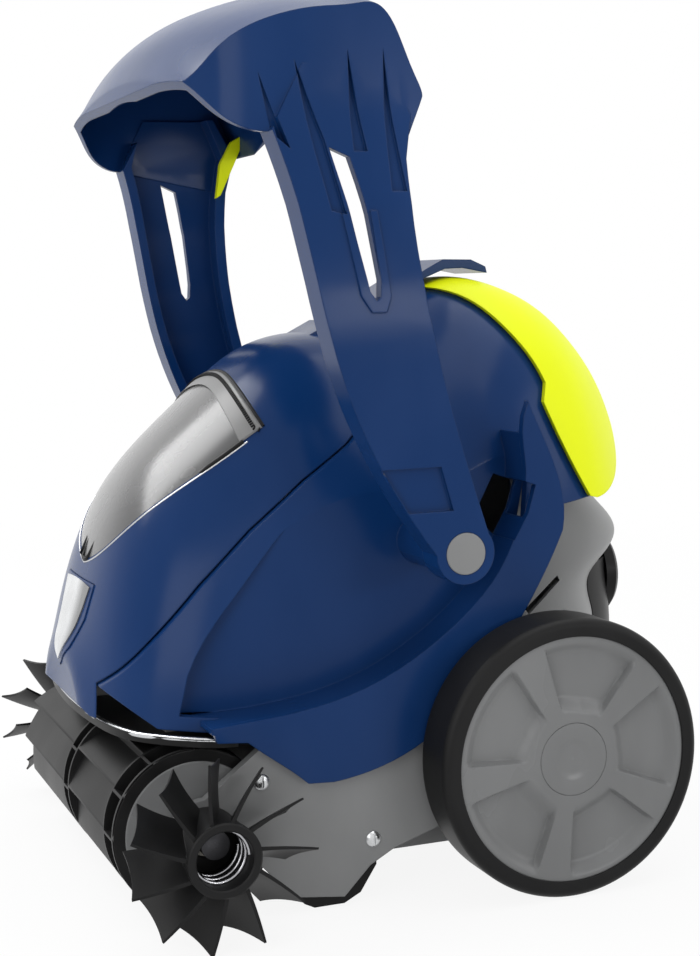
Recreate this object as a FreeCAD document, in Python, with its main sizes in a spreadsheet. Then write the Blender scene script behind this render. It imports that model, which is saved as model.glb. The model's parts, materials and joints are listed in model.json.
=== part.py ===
"""Pool cleaner: a wheeled floor cleaner with a bladed front roller, a filter hood and a folding handle.

Frame: +Z up, the front looks along -Y, +X is the cleaner's left side, millimetres.  The origin is on the
floor under the middle of the whole machine.  Sizes live in the sheet; every piece is built around the
wheel axle's own Y = 0 and then placed at axle_y.
"""
import FreeCAD
import Part
import math
import os
from FreeCAD import Placement, Rotation, Vector

SIZES = {
    # where the rear axle stands in the row frame
    "axle_y": 68.8,
    # wheels
    "wheel_radius": 80.0, "wheel_width": 34.0, "wheel_face": 180.0, "rim_radius": 70.0,
    "rim_flange": 4.0, "web_recess": 1.0, "web_wall": 5.0, "hub_radius": 17.0, "hub_length": 22.0,
    "shoulder_radius": 5.0, "spoke_count": 5, "dish_depth": 2.2, "dish_inner": 29.0, "dish_outer": 63.0,
    "dish_inner_width": 20.0, "dish_outer_width": 56.0, "cap_radius": 20.6, "cap_wall": 2.5,
    "cap_dimple": 12.4, "axle_radius": 6.0, "axle_head": 10.0, "running_gap": 0.05,
    # gear train
    "gear_module": 2.0, "gear_width": 8.0, "ring_teeth": 57, "pinion_teeth": 12, "idler_teeth": 31,
    "brush_teeth": 25, "gear_play": 0.16, "pinion_core": 5.0, "train_face": 122.0,
    # front roller
    "brush_z": 52.0, "blade_radius": 51.6, "blade_count": 11, "blade_wall": 2.4, "blade_width": 32.0, "blade_twist": 20.0,
    "roller_radius": 44.0, "roller_wall": 3.5, "roller_reach": 128.0, "roller_ribs": 12, "rib_rise": 3.0,
    "hub_tube_radius": 19.5, "hub_tube_bore": 15.0, "brush_reach": 182.0, "shaft_radius": 8.0,
    "bearing_wall": 4.0,
    # chassis
    "tray_half": 117.0, "tray_front": -152.0, "tray_rear": 76.0, "tray_floor": 22.0, "tray_top": 104.0,
    "wall": 3.0, "panel_face": 138.0, "panel_wall": 6.0, "pad_y": -121.0, "pad_length": 26.0,
    "pad_drop": 5.0, "lip_z": 99.5, "lip_bar": 4.5, "lip_plate": 2.5,
    # covers
    "band_face": 144.5, "cover_base": 38.0, "cover_power": 2.5, "fin_step": 5.0, "recess_face": 118.0, "lid_gap": 0.7,
    "window_wall": 2.5, "hinge_y": -242.0, "hinge_z": 115.0, "hinge_pin": 2.5, "latch_y": -36.0,
    "latch_z": 337.0, "latch_half": 24.0, "latch_pin": 2.0,
    "tail_wall": 3.0, "tail_gap": 0.3,
    # handle
    "pivot_y": -65.0, "pivot_z": 202.0, "pivot_radius": 6.0, "eye_radius": 17.0, "arm_face": 180.0,
    "arm_wall": 20.0, "arm_skin": 6.0, "grip_wall": 4.0, "cap_disc": 11.5, "cap_seat": 4.0,
    # pump
    "pump_z": 153.0, "duct_radius": 25.0, "duct_wall": 3.0, "impeller_gap": 1.0, "nozzle_end": 117.0,
    "nozzle_radius": 28.0, "duct_front": 72.0, "duct_end": 107.0, "pump_shaft": 3.0, "pump_motor_radius": 19.0, "drive_motor_radius": 16.0,
    "gland_x": 58.0, "gland_z": 182.0, "gland_radius": 7.0, "gland_bore": 4.1, "gland_length": 38.0, "mouth_half": 52.0, "mouth_length": 26.0,
    "block_half": 62.0, "block_front": -68.0, "block_rear": 50.0, "block_base": 28.0, "block_top": 180.0,
    # filter and intake
    "basket_half": 96.0, "basket_front": -146.0, "basket_rear": -74.0, "basket_top": 184.0, "mesh_wall": 0.8,
    "flap_half": 49.0, "flap_pin": 1.5, "flap_y": -110.0, "flap_z": 31.6,
}

doc = FreeCAD.newDocument("pool_cleaner")
sheet = doc.addObject("Spreadsheet::Sheet", "sizes")
for row, (alias, value) in enumerate(SIZES.items(), start=1):
    sheet.set(f"A{row}", alias.replace("_", " "))
    sheet.set(f"B{row}", str(value))
    sheet.setAlias(f"B{row}", alias)
doc.recompute()

nodes = []
SIDES = {"left": 1, "right": -1}
X_AXIS = Vector(1, 0, 0)


def size(alias):
    """The sheet's value of one driving size."""
    return float(sheet.get(alias))


def register(item, name):
    """Name a finished sub-part and keep it for writing."""
    item.Label = name
    nodes.append(item)
    return item


def feature(name, shape):
    """A sub-part whose shape is worked out in code, stood at the rear axle's place."""
    item = doc.addObject("Part::Feature", name)
    item.Shape = shape
    item.Placement = Placement(Vector(0, size("axle_y"), 0), Rotation()).multiply(shape.Placement)
    return register(item, name)


def bind(item, **links):
    """Tie properties to sheet cells; sizes are written as sheet aliases."""
    for key, rule in links.items():
        item.setExpression(key.replace("__", "."), rule)
    return item


def bar(name, radius, length, start, y, z):
    """A round bar along X from a start point; all arguments are sheet rules."""
    item = doc.addObject("Part::Cylinder", name)
    item.Placement = Placement(Vector(), Rotation(Vector(0, 1, 0), 90))
    return bind(item, Radius=radius, Height=length, Placement__Base__x=start,
                Placement__Base__y=f"sizes.axle_y + ({y})", Placement__Base__z=z)


def block(name, low, high):
    """A box between two corners, each three sheet rules."""
    item = doc.addObject("Part::Box", name)
    spans = {key: f"({top}) - ({base})" for key, base, top in zip(("Length", "Width", "Height"), low, high)}
    return bind(item, **spans, Placement__Base__x=low[0], Placement__Base__y=f"sizes.axle_y + ({low[1]})",
                Placement__Base__z=low[2])


def cut(name, base, tool):
    """One object minus another."""
    item = doc.addObject("Part::Cut", name)
    item.Base = base
    item.Tool = tool
    return item


def fuse(name, pieces):
    """Several objects joined."""
    item = doc.addObject("Part::MultiFuse", name)
    item.Shapes = pieces
    return item


def plane_of(body, role):
    """One of a body's own origin planes."""
    return next(plane for plane in body.Origin.OriginFeatures if plane.Role == role)


def sketch_on(body, name, role):
    """An empty sketch on one of the body's origin planes."""
    sketch = body.newObject("Sketcher::SketchObject", name)
    sketch.AttachmentSupport = (plane_of(body, role), [""])
    sketch.MapMode = "FlatFace"
    return sketch


def draw(sketch, points):
    """Close a run of straight lines through the points."""
    for start, end in zip(points, points[1:] + points[:1]):
        sketch.addGeometry(Part.LineSegment(Vector(*start, 0), Vector(*end, 0)))


def turned(body, name, points):
    """Revolve a closed (axial, radial) profile about the body's X axis."""
    sketch = sketch_on(body, name + "_profile", "XY_Plane")
    draw(sketch, points)
    revolution = body.newObject("PartDesign::Revolution", name)
    revolution.Profile = sketch
    revolution.ReferenceAxis = (sketch, ["H_Axis"])
    revolution.Angle = 360.0
    sketch.Visibility = False
    return revolution


def wheel_place(body, side):
    """Stand a wheel piece, drawn for the left side, at its own side of the axle."""
    turn = Rotation(Vector(0, 0, 1), 0 if side == "left" else 180)
    body.Placement = Placement(Vector(0, size("axle_y"), size("wheel_radius")), turn)
    return bind(body, Placement__Base__y="sizes.axle_y", Placement__Base__z="sizes.wheel_radius")


def lines_wire(points):
    """A closed wire of straight edges through 3-D points."""
    return Part.makePolygon([Vector(*point) for point in points + points[:1]])


def run_curve(points):
    """A smooth curve through (y, z) points, at X = 0."""
    curve = Part.BSplineCurve()
    curve.interpolate([Vector(0, *point) for point in points])
    return curve


def run_wire(runs, x):
    """A closed wire of (y, z) runs: one more point is a straight edge, several more a smooth curve."""
    last, edges = runs[0][0], []
    for index, run in enumerate(runs):
        points = ([last] if index else []) + run
        if len(points) == 2:
            edges.append(Part.LineSegment(*(Vector(0, *point) for point in points)).toShape())
        elif len(points) > 2:
            edges.append(run_curve(points).toShape())
        last = run[-1]
    edges.append(Part.LineSegment(Vector(0, *last), Vector(0, *runs[0][0])).toShape())
    return Part.Wire(edges).translate(Vector(x, 0, 0))


def faceted(runs, steps=4):
    """The corners of (y, z) runs, with each smooth curve cut into short straight steps."""
    corners = []
    for run in runs:
        points = ([corners[-1]] if corners else []) + run
        if len(points) > 2:
            points = [(point.y, point.z) for point in run_curve(points).discretize(steps * (len(points) - 1) + 1)]
        corners += points[1:] if corners else points
    return corners


def side_prism(profile, low, high):
    """A prism along X from a closed (y, z) profile of corners or of runs."""
    curved = isinstance(profile[0], list)
    wire = run_wire(profile, low) if curved else lines_wire([(low, y, z) for y, z in profile])
    return Part.Face(wire).extrude(Vector(high - low, 0, 0))


def round_bar(radius, low, high, y, z):
    """A plain cylinder shape along X."""
    return Part.makeCylinder(radius, high - low, Vector(low, y, z), X_AXIS)


# ---------------------------------------------------------------- wheels

def tyre(side):
    """Smooth rubber tyre with rounded shoulders."""
    body = doc.addObject("PartDesign::Body", f"tyre_{side}")
    outer, inner = size("wheel_radius"), size("rim_radius")
    face, back = size("wheel_face"), size("wheel_face") - size("wheel_width")
    ring = turned(body, f"tyre_ring_{side}", [(back, inner), (face, inner), (face, outer), (back, outer)])
    doc.recompute()
    edges = [f"Edge{index}" for index, edge in enumerate(ring.Shape.Edges, start=1)
             if edge.Curve.TypeId == "Part::GeomCircle" and abs(edge.Curve.Radius - outer) < 0.01]
    rounding = body.newObject("PartDesign::Fillet", f"tyre_shoulders_{side}")
    rounding.Base = (ring, edges)
    bind(rounding, Radius="sizes.shoulder_radius")
    wheel_place(body, side)
    return register(body, f"tyre_{side}")


def wheel_disc(side):
    """Rim, web and hub in one moulding, with dished pads between flush spokes."""
    body = doc.addObject("PartDesign::Body", f"wheel_disc_{side}")
    face = size("wheel_face") - size("web_recess")
    back = size("wheel_face") - size("wheel_width")
    web = face - size("web_wall")
    hub_face = face - 9.0
    hub_back = hub_face - size("hub_length")
    bore = size("axle_radius") + size("running_gap")
    flange = size("rim_radius") - size("rim_flange")
    seat = size("cap_radius") + 0.2
    profile = [(hub_back, bore), (hub_face, bore), (hub_face, size("axle_head") + 1.0),
               (web + 1.0, size("axle_head") + 1.0), (web + 1.0, seat - 3.0), (face - size("cap_wall"), seat - 3.0),
               (face - size("cap_wall"), seat), (face, seat), (face, size("rim_radius")),
               (back, size("rim_radius")), (back, flange), (web, flange), (web, size("hub_radius")),
               (hub_back, size("hub_radius"))]
    turned(body, f"disc_turning_{side}", profile)
    doc.recompute()
    pads = sketch_on(body, f"dish_outline_{side}", "YZ_Plane")
    inner, outer = size("dish_inner"), size("dish_outer")
    half_in, half_out = size("dish_inner_width") / 2, size("dish_outer_width") / 2
    draw(pads, [(inner, -half_in), (outer - 7, -half_out), (outer, 0), (outer - 7, half_out), (inner, half_in)])
    bind(pads, AttachmentOffset__Base__z="sizes.wheel_face - sizes.web_recess")
    pocket = body.newObject("PartDesign::Pocket", f"dish_{side}")
    pocket.Profile = pads
    pocket.Type = 0
    bind(pocket, Length="sizes.dish_depth")
    pattern = body.newObject("PartDesign::PolarPattern", f"dishes_{side}")
    pattern.Originals = [pocket]
    pattern.Axis = (plane_axis(body, "X_Axis"), [""])
    pattern.Angle = 360.0
    bind(pattern, Occurrences="sizes.spoke_count")
    body.Tip = pattern
    pads.Visibility = False
    wheel_place(body, side)
    return register(body, f"wheel_disc_{side}")


def plane_axis(body, role):
    """One of a body's own origin axes."""
    return next(axis for axis in body.Origin.OriginFeatures if axis.Role == role)


def hub_cap(side):
    """Flush centre cap with a shallow finger dimple."""
    body = doc.addObject("PartDesign::Body", f"hub_cap_{side}")
    face = size("wheel_face") - size("web_recess")
    base = face - size("cap_wall")
    radius, dimple = size("cap_radius"), size("cap_dimple")
    turned(body, f"cap_turning_{side}", [(base, 0), (face - 1.4, 0), (face - 1.2, dimple - 4),
                                         (face, dimple), (face, radius), (base, radius)])
    wheel_place(body, side)
    return register(body, f"hub_cap_{side}")


def wheel_axle(side):
    """Steel stub axle with a retaining head, fixed in the side panel."""
    sign = SIDES[side]
    hub_face = size("wheel_face") - size("web_recess") - 9.0
    start = size("panel_face") - size("panel_wall") - 8.0
    rod = round_bar(size("axle_radius"), start, hub_face + 0.3, 0, size("wheel_radius"))
    head = round_bar(size("axle_head"), hub_face + 0.3, hub_face + 3.0, 0, size("wheel_radius"))
    shape = rod.fuse(head).removeSplitter()
    if sign < 0:
        shape = shape.mirror(Vector(), X_AXIS)
    return feature(f"wheel_axle_{side}", shape)


# ---------------------------------------------------------------- gears

def gear_outline(teeth, x, inward=False):
    """Straight-flanked gear outline in the YZ plane at x, one tooth centred on the +Y direction."""
    module = size("gear_module")
    pitch = module * teeth / 2
    step = 2 * math.pi / teeth
    play = size("gear_play") / pitch
    swing = -1 if inward else 1
    root, tip = pitch - swing * 1.15 * module, pitch + swing * 0.85 * module
    points = []
    for index in range(teeth):
        middle = index * step
        for radius, share in ((root, -0.36), (tip, -0.13), (tip, 0.13), (root, 0.36)):
            angle = middle + share * step + (play if share < 0 else -play)
            points.append((x, radius * math.cos(angle), radius * math.sin(angle)))
    return lines_wire(points)


def gear(teeth, low, width, bore):
    """A spur gear solid along X with a round bore."""
    blank = Part.Face(gear_outline(teeth, low)).extrude(Vector(width, 0, 0))
    return blank.cut(round_bar(bore, low - 1, low + width + 1, 0, 0))


def ring_gear(side):
    """Internal gear that seats inside the wheel's rim."""
    sign = SIDES[side]
    back = size("wheel_face") - size("wheel_width") + 3.0
    width = size("gear_width")
    rim = size("rim_radius") - size("rim_flange")
    hole = Part.Face(gear_outline(int(size("ring_teeth")), back - 1, inward=True))
    shape = round_bar(rim, back, back + width, 0, 0).cut(hole.extrude(Vector(width + 2, 0, 0)))
    shape.rotate(Vector(), X_AXIS, ring_turn())
    if sign < 0:
        shape = shape.mirror(Vector(), X_AXIS)
    shape.translate(Vector(0, 0, size("wheel_radius")))
    return feature(f"ring_gear_{side}", shape)


def pinion_reach():
    """Distance from the wheel axle forward to the drive pinion."""
    return size("gear_module") * (size("ring_teeth") - size("pinion_teeth")) / 2


def train():
    """Centres of pinion, two idlers and roller gear as (y, z, teeth, turn in degrees), in mesh at rest."""
    teeth = [int(size(key)) for key in ("pinion_teeth", "idler_teeth", "idler_teeth", "brush_teeth")]
    module = size("gear_module")
    steps = [module * (one + other) / 2 for one, other in zip(teeth, teeth[1:])]
    drop = size("wheel_radius") - size("brush_z")
    slope = 180 + math.degrees(math.asin(drop / sum(steps)))
    y, z, turn = -pinion_reach(), size("wheel_radius"), 0.0
    places = [(y, z, teeth[0], turn)]
    for step, last, count in zip(steps, teeth, teeth[1:]):
        y += step * math.cos(math.radians(slope))
        z += step * math.sin(math.radians(slope))
        share = (slope - turn) * last / 360
        turn = slope + 180 - (0.5 - share) * 360 / count
        places.append((y, z, count, turn % 360))
    return places


def ring_turn():
    """Turn of the ring gear that puts a gap over the drive pinion's tooth."""
    share = (180 - train()[0][3]) * size("pinion_teeth") / 360 - 0.5
    return 180 - share * 360 / size("ring_teeth")


def brush_y():
    """Where the gear train puts the roller axis, forward of the wheel axle."""
    return train()[-1][0]


def drive_pinion(side):
    """Stepped pinion shaft that turns the wheel and, on the right, the gear train."""
    sign = SIDES[side]
    y, z, teeth, turn = train()[0]
    back = size("wheel_face") - size("wheel_width") + 3.0
    width = size("gear_width")
    shape = Part.Face(gear_outline(teeth, back)).extrude(Vector(width - 1, 0, 0))
    shape = shape.fuse(Part.Face(gear_outline(teeth, size("train_face"))).extrude(Vector(width, 0, 0)))
    shape = shape.fuse(round_bar(size("pinion_core"), size("block_half") - 16, back + 1, 0, 0))
    shape.rotate(Vector(), X_AXIS, turn)
    if sign < 0:
        shape = shape.mirror(Vector(), X_AXIS)
    shape.translate(Vector(0, y, z))
    return feature(f"drive_pinion_{side}", shape)


def train_gear(name, index, bore):
    """One gear of the right-hand train, at its own place and turn."""
    y, z, teeth, turn = train()[index]
    low = -size("train_face") - size("gear_width")
    shape = gear(teeth, low, size("gear_width"), bore)
    shape.rotate(Vector(), X_AXIS, turn)
    shape.translate(Vector(0, y, z))
    return feature(name, shape)


def idler_pins():
    """Fixed pins that carry the two idlers, with a shoulder at the free end."""
    low = -size("panel_face") + 1.0
    high = -size("train_face")
    pins = []
    for y, z, _, _ in train()[1:3]:
        pin = round_bar(size("axle_radius") - size("running_gap"), low, high + 0.3, y, z)
        pins.append(pin.fuse(round_bar(size("axle_radius") + 2.5, high + 0.3, high + 1.8, y, z)).removeSplitter())
    return feature("idler_pins", Part.makeCompound(pins))


# ---------------------------------------------------------------- front roller

def brush_roller():
    """Ribbed hollow drum with two bands of slots and closed ends."""
    low = -size("train_face") + 4.0
    high = size("roller_reach")
    radius, shell = size("roller_radius"), size("roller_wall")
    drum = round_bar(radius, low, high, 0, 0).cut(round_bar(radius - shell, low + 4, high - 4, 0, 0))
    count = int(size("roller_ribs"))
    rib = Part.makeBox(high - low, size("rib_rise") + 1.5, 3.6, Vector(low, radius - 1.5, -1.8))
    slot = Part.makeBox(15.0, 2 * shell, 7.0, Vector(-7.5, radius - 1.5 * shell, -3.5))
    ribs, slots = [], []
    for index in range(count):
        turn = index * 360 / count
        ribs.append(rib.copy().rotate(Vector(), X_AXIS, turn))
        for middle in (low + 26, high - 26):
            piece = slot.copy().rotate(Vector(), X_AXIS, turn + 180 / count)
            slots.append(piece.translate(Vector(middle, 0, 0)))
    shape = drum.fuse(ribs).cut(slots).cut(round_bar(size("shaft_radius"), low - 1, high + 1, 0, 0))
    shape.translate(Vector(0, brush_y(), size("brush_z")))
    return feature("brush_roller", shape)


def blade_wheel(side):
    """Soft radial blades with a hollow outer edge, standing on an open hub tube."""
    sign = SIDES[side]
    high = size("brush_reach")
    low = high - size("blade_width")
    tube = size("hub_tube_radius")
    tip, wall = size("blade_radius"), size("blade_wall")
    outline = [Part.LineSegment(Vector(low, tube - 1, 0), Vector(high - 2, tube - 1, 0)),
               Part.LineSegment(Vector(high - 2, tube - 1, 0), Vector(high, tip, 0)),
               Part.Arc(Vector(high, tip, 0), Vector((low + high) / 2, tip - 7, 0), Vector(low, tip, 0)),
               Part.LineSegment(Vector(low, tip, 0), Vector(low, tube - 1, 0))]
    face = Part.Face(Part.Wire([curve.toShape() for curve in outline]))
    blade = face.extrude(Vector(0, 0, wall)).translate(Vector(0, 0, -wall / 2))
    middle = Vector((low + high) / 2, 0, 0)
    blade = blade.rotate(middle, Vector(0, 1, 0), size("blade_twist"))
    count = int(size("blade_count"))
    blades = [blade.copy().rotate(Vector(), X_AXIS, 90 + index * 360 / count) for index in range(count)]
    hub = round_bar(tube, low - 3, high + 2, 0, 0).cut(round_bar(size("hub_tube_bore"), low + 3, high + 3, 0, 0))
    shape = hub.fuse(blades).cut(round_bar(size("shaft_radius"), low - 4, low + 4, 0, 0))
    if sign < 0:
        shape = shape.mirror(Vector(), X_AXIS)
    shape.translate(Vector(0, brush_y(), size("brush_z")))
    return feature(f"blade_wheel_{side}", shape)


def brush_shaft():
    """Steel shaft through drum, gear and both blade wheels."""
    reach = size("brush_reach") - size("blade_width") + 6
    shape = round_bar(size("shaft_radius"), -reach, reach, brush_y(), size("brush_z"))
    return feature("brush_shaft", shape)


def brush_bearing(side):
    """Plain bearing bush held in the panel's front lobe."""
    low = size("panel_face") - size("panel_wall")
    inner = size("shaft_radius") + size("running_gap")
    ring = round_bar(inner + size("bearing_wall"), low, size("panel_face"), brush_y(), size("brush_z"))
    shape = ring.cut(round_bar(inner, low - 1, low + size("panel_wall") + 1, brush_y(), size("brush_z")))
    if SIDES[side] < 0:
        shape = shape.mirror(Vector(), X_AXIS)
    return feature(f"brush_bearing_{side}", shape)


# ---------------------------------------------------------------- chassis

def side_panel(side):
    """Grey chassis side plate: front lobe for the roller, low belly, and the wheel's stub boss."""
    sign = SIDES[side]
    body = doc.addObject("PartDesign::Body", f"side_panel_{side}")
    outline = sketch_on(body, f"panel_outline_{side}", "YZ_Plane")
    front, height = brush_y(), size("brush_z")
    lobe = size("shaft_radius") + size("bearing_wall") + 8.0
    outline.addGeometry(Part.ArcOfCircle(Part.Circle(Vector(front, height, 0), Vector(0, 0, 1), lobe),
                                         math.pi / 2, 3 * math.pi / 2))
    edge = [(front, height - lobe), (-172.0, 30.0), (-165.0, 22.0), (-154.0, 10.0), (-124.0, 6.0), (-108.0, 22.0),
            (-93.0, 30.0), (-65.0, 39.0),
            (-20.0, 26.0), (30.0, 34.0), (66.0, 70.0), (62.0, 130.0), (20.0, 156.0), (-60.0, 136.0),
            (-172.0, 96.0), (front, height + lobe)]
    for start, end in zip(edge, edge[1:]):
        outline.addGeometry(Part.LineSegment(Vector(*start, 0), Vector(*end, 0)))
    pad = body.newObject("PartDesign::Pad", f"panel_plate_{side}")
    pad.Profile = outline
    bind(pad, Length="sizes.panel_wall")
    reach = "sizes.panel_face - sizes.panel_wall" if sign > 0 else "-sizes.panel_face"
    bind(outline, AttachmentOffset__Base__z=reach)
    doc.recompute()
    holes = sketch_on(body, f"panel_holes_{side}", "YZ_Plane")
    bores = [(front, height, size("shaft_radius") + size("running_gap") + size("bearing_wall")),
             (0.0, size("wheel_radius"), size("axle_radius")),
             (-pinion_reach(), size("wheel_radius"), size("pinion_core") + size("running_gap"))]
    if sign < 0:
        bores += [(y, z, size("axle_radius") - size("running_gap")) for y, z, _, _ in train()[1:3]]
    for y, z, radius in bores:
        holes.addGeometry(Part.Circle(Vector(y, z, 0), Vector(0, 0, 1), radius))
    pocket = body.newObject("PartDesign::Pocket", f"panel_bores_{side}")
    pocket.Profile = holes
    pocket.Type = 1
    pocket.Midplane = True
    body.Tip = pocket
    outline.Visibility = False
    holes.Visibility = False
    body.Placement = Placement(Vector(0, size("axle_y"), 0), Rotation())
    bind(body, Placement__Base__y="sizes.axle_y")
    return register(body, f"side_panel_{side}")


def lower_hull():
    """Open grey tray between the side panels, with the suction mouth in its floor."""
    half, front, rear = "sizes.tray_half", "sizes.tray_front", "sizes.tray_rear"
    floor, top, wall = "sizes.tray_floor", "sizes.tray_top", "sizes.wall"
    outer = block("tray_outer", (f"-{half}", front, floor), (half, rear, top))
    inner = block("tray_inner", (f"-{half} + {wall}", f"{front} + {wall}", f"{floor} + {wall}"),
                  (f"{half} - {wall}", f"{rear} - {wall}", f"{top} + 1"))
    mouth = block("suction_mouth", ("-sizes.mouth_half", f"{front} + 12", f"{floor} - 1"),
                  ("sizes.mouth_half", f"{front} + 12 + sizes.mouth_length", f"{floor} + {wall} + 1"))
    shafts = [bar(f"pinion_hole_{side}", "sizes.pinion_core + 1", "3 * sizes.wall", start,
                  str(-pinion_reach()), "sizes.wheel_radius")
              for side, start in (("left", f"{half} - 2 * {wall}"), ("right", f"-{half} - {wall}"))]
    posts = []
    for index, (y, z) in enumerate(((-115.0, 30.0), (-20.0, 40.0), (40.0, 60.0), (20.0, 97.0))):
        for side, start in (("left", half), ("right", "-sizes.panel_face + sizes.panel_wall")):
            posts.append(bar(f"post_{index}_{side}", "5", "sizes.panel_face - sizes.panel_wall - sizes.tray_half",
                             start, str(y), str(z)))
    opened = cut("tray_opened", cut("tray_shell", outer, inner), fuse("tray_cuts", [mouth] + shafts))
    return register(fuse("lower_hull", [opened] + posts), "lower_hull")


def cover_arches(inset, side_inset):
    """Place, half width and crown height of each arch under the covers' skin, front to back."""
    arches = [(-251.0, 60.0, 128.0), (-247.0, 80.0, 146.0), (-241.0, 93.0, 163.0), (-235.0, 102.0, 183.0),
              (-228.0, 109.0, 203.0), (-214.0, 118.0, 231.0), (-195.0, 126.0, 254.0), (-170.0, 132.0, 277.0),
              (-150.0, 136.0, 294.0), (-128.0, 139.0, 310.0), (-95.0, 142.0, 319.0), (-61.0, 143.0, 321.0),
              (-40.0, 143.0, 330.0), (-18.0, 143.0, 344.0), (6.0, 142.0, 348.0), (30.0, 137.0, 342.0),
              (50.0, 128.0, 332.0), (70.0, 113.0, 315.0), (88.0, 92.0, 294.0), (100.0, 70.0, 272.0),
              (107.0, 52.0, 252.0), (110.0, 40.0, 240.0)]
    first, last = arches[0][0], arches[-1][0]
    middle, reach = (first + last) / 2, (last - first) / 2
    return [(y - inset * (y - middle) / reach, half - inset - side_inset, crown - inset)
            for y, half, crown in arches]


def arch_wire(y, half, crown, base, power):
    """One closed arch in the XZ plane: a rounded-square crown on a flat base."""
    count = 14
    points = []
    for index in range(count + 1):
        angle = math.pi * index / count
        across, up = math.cos(angle), math.sin(angle)
        points.append(Vector(math.copysign(abs(across) ** (2 / power), across) * half, y,
                             base + up ** (2 / power) * (crown - base)))
    curve = Part.BSplineCurve()
    curve.interpolate(points)
    return Part.Wire([curve.toShape(), Part.LineSegment(points[-1], points[0]).toShape()])


MASSES = {}


def cover_mass(inset=0.0, side_inset=0.0, drop=0.0):
    """The solid mass under the covers' outer skin, or under a skin set in from it."""
    key = (inset, side_inset, drop)
    if key not in MASSES:
        MASSES[key] = lofted_mass(*key)
    return MASSES[key]


def lofted_mass(inset, side_inset, drop):
    """The cover arches lofted into one solid."""
    base = size("cover_base") - drop
    wires = [arch_wire(y, half, crown, base, size("cover_power"))
             for y, half, crown in cover_arches(inset, side_inset)]
    return Part.makeLoft(wires, True, False)


SKIRT_FRONT = [(-170.0, 94.5), (-157.0, 84.8), (-146.0, 75.5)]
SKIRT_EDGE = [(-112.0, 77.5), (-91.0, 84.0), (-66.0, 98.0), (-40.0, 122.0), (-14.0, 157.0), (2.0, 183.0), (13.0, 205.0)]
FIELD_EDGE = [(-160.0, 115.0), (-109.0, 126.0), (-56.0, 156.0), (-28.0, 184.0), (-14.0, 214.0), (-10.0, 240.0),
              (-12.0, 262.0)]
FIN_EDGE = [(-204.0, 136.0), (-191.0, 159.0), (-172.0, 182.0), (-142.0, 216.0), (-98.0, 252.0)]
TAIL_EDGE = [(66.0, 222.0), (78.0, 229.0), (87.0, 240.0), (93.0, 253.0), (112.0, 274.0)]


def skirt_profile():
    """Side view (y, z) of everything the fixed cover may fill."""
    return [[(-270.0, 128.0)], [(-243.0, 124.0)], [(-221.0, 107.0)], [(-196.0, 105.0)], [(-184.0, 104.5)],
            [(-180.0, 102.6)], SKIRT_FRONT, [(-131.0, 74.6)], SKIRT_EDGE, [(16.0, 216.0)], [(50.0, 219.0)], TAIL_EDGE,
            [(140.0, 300.0)], [(140.0, 370.0)], [(-270.0, 370.0)]]


def lid_profile(shrink=0.0):
    """Side view (y, z) of the swinging hood: nose, fin line and rear joint."""
    return [(-275.0, 110.0), (-251.0, 110.0), (-248.0, 106.5), (-245.0 - shrink, 106.5), (-243.0 - shrink, 125.0 + shrink),
            (-219.0 - shrink, 153.0 + shrink), (-192.0 - shrink, 183.0 + shrink), (-162.0 - shrink, 212.0 + shrink),
            (-130.0 - shrink, 238.0 + shrink), (-102.0 - shrink, 256.5 + shrink), (-84.0 - shrink, 272.0 + shrink),
            (-76.0 - shrink, 300.0), (-76.0 - shrink, 370.0), (-275.0, 370.0)]


def field_room(offset):
    """Plan view of the room outside the left sunken field, which stands further in towards the front."""
    face = size("recess_face")
    line = [(face - 13.0, -230.0), (face - 11.0, -195.0), (face - 7.0, -170.0), (face - 3.0, -130.0), (face, -60.0),
            (face, 60.0)]
    points = [(x + offset, y, 0.0) for x, y in line] + [(FAR, 60.0, 0.0), (FAR, -230.0, 0.0)]
    return Part.Face(lines_wire(points)).extrude(Vector(0, 0, FAR))


def cheek_profile():
    """Side view (y, z) of the wall that steps in from the fin to the sunken field."""
    return [[(-210.0, 114.0)], FIN_EDGE, [(-58.0, 300.0)], [(-37.0, 313.0)], [(-36.0, 316.0)], [(-60.0, 303.0)],
            [(-100.0, 254.5), (-144.0, 218.5), (-174.0, 184.5), (-193.5, 161.0), (-207.0, 137.0)], [(-213.0, 114.0)]]


def recess_profile():
    """Side view (y, z) of the sunken side field between fin, skirt and rear dome."""
    return [[(-210.0, 114.0)], [(-163.0, 111.0)], [(-109.0, 121.0), (-52.0, 150.0), (-27.0, 178.0), (-4.0, 207.0)],
            [(5.0, 250.0)], [(7.0, 262.0), (-8.0, 290.0), (-26.0, 309.0), (-37.0, 313.0)], [(-58.0, 300.0)],
            FIN_EDGE[::-1]]


FAR = 400.0


def biggest(shape):
    """The largest solid of a boolean's result."""
    return max(shape.Solids, key=lambda solid: solid.Volume)


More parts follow.
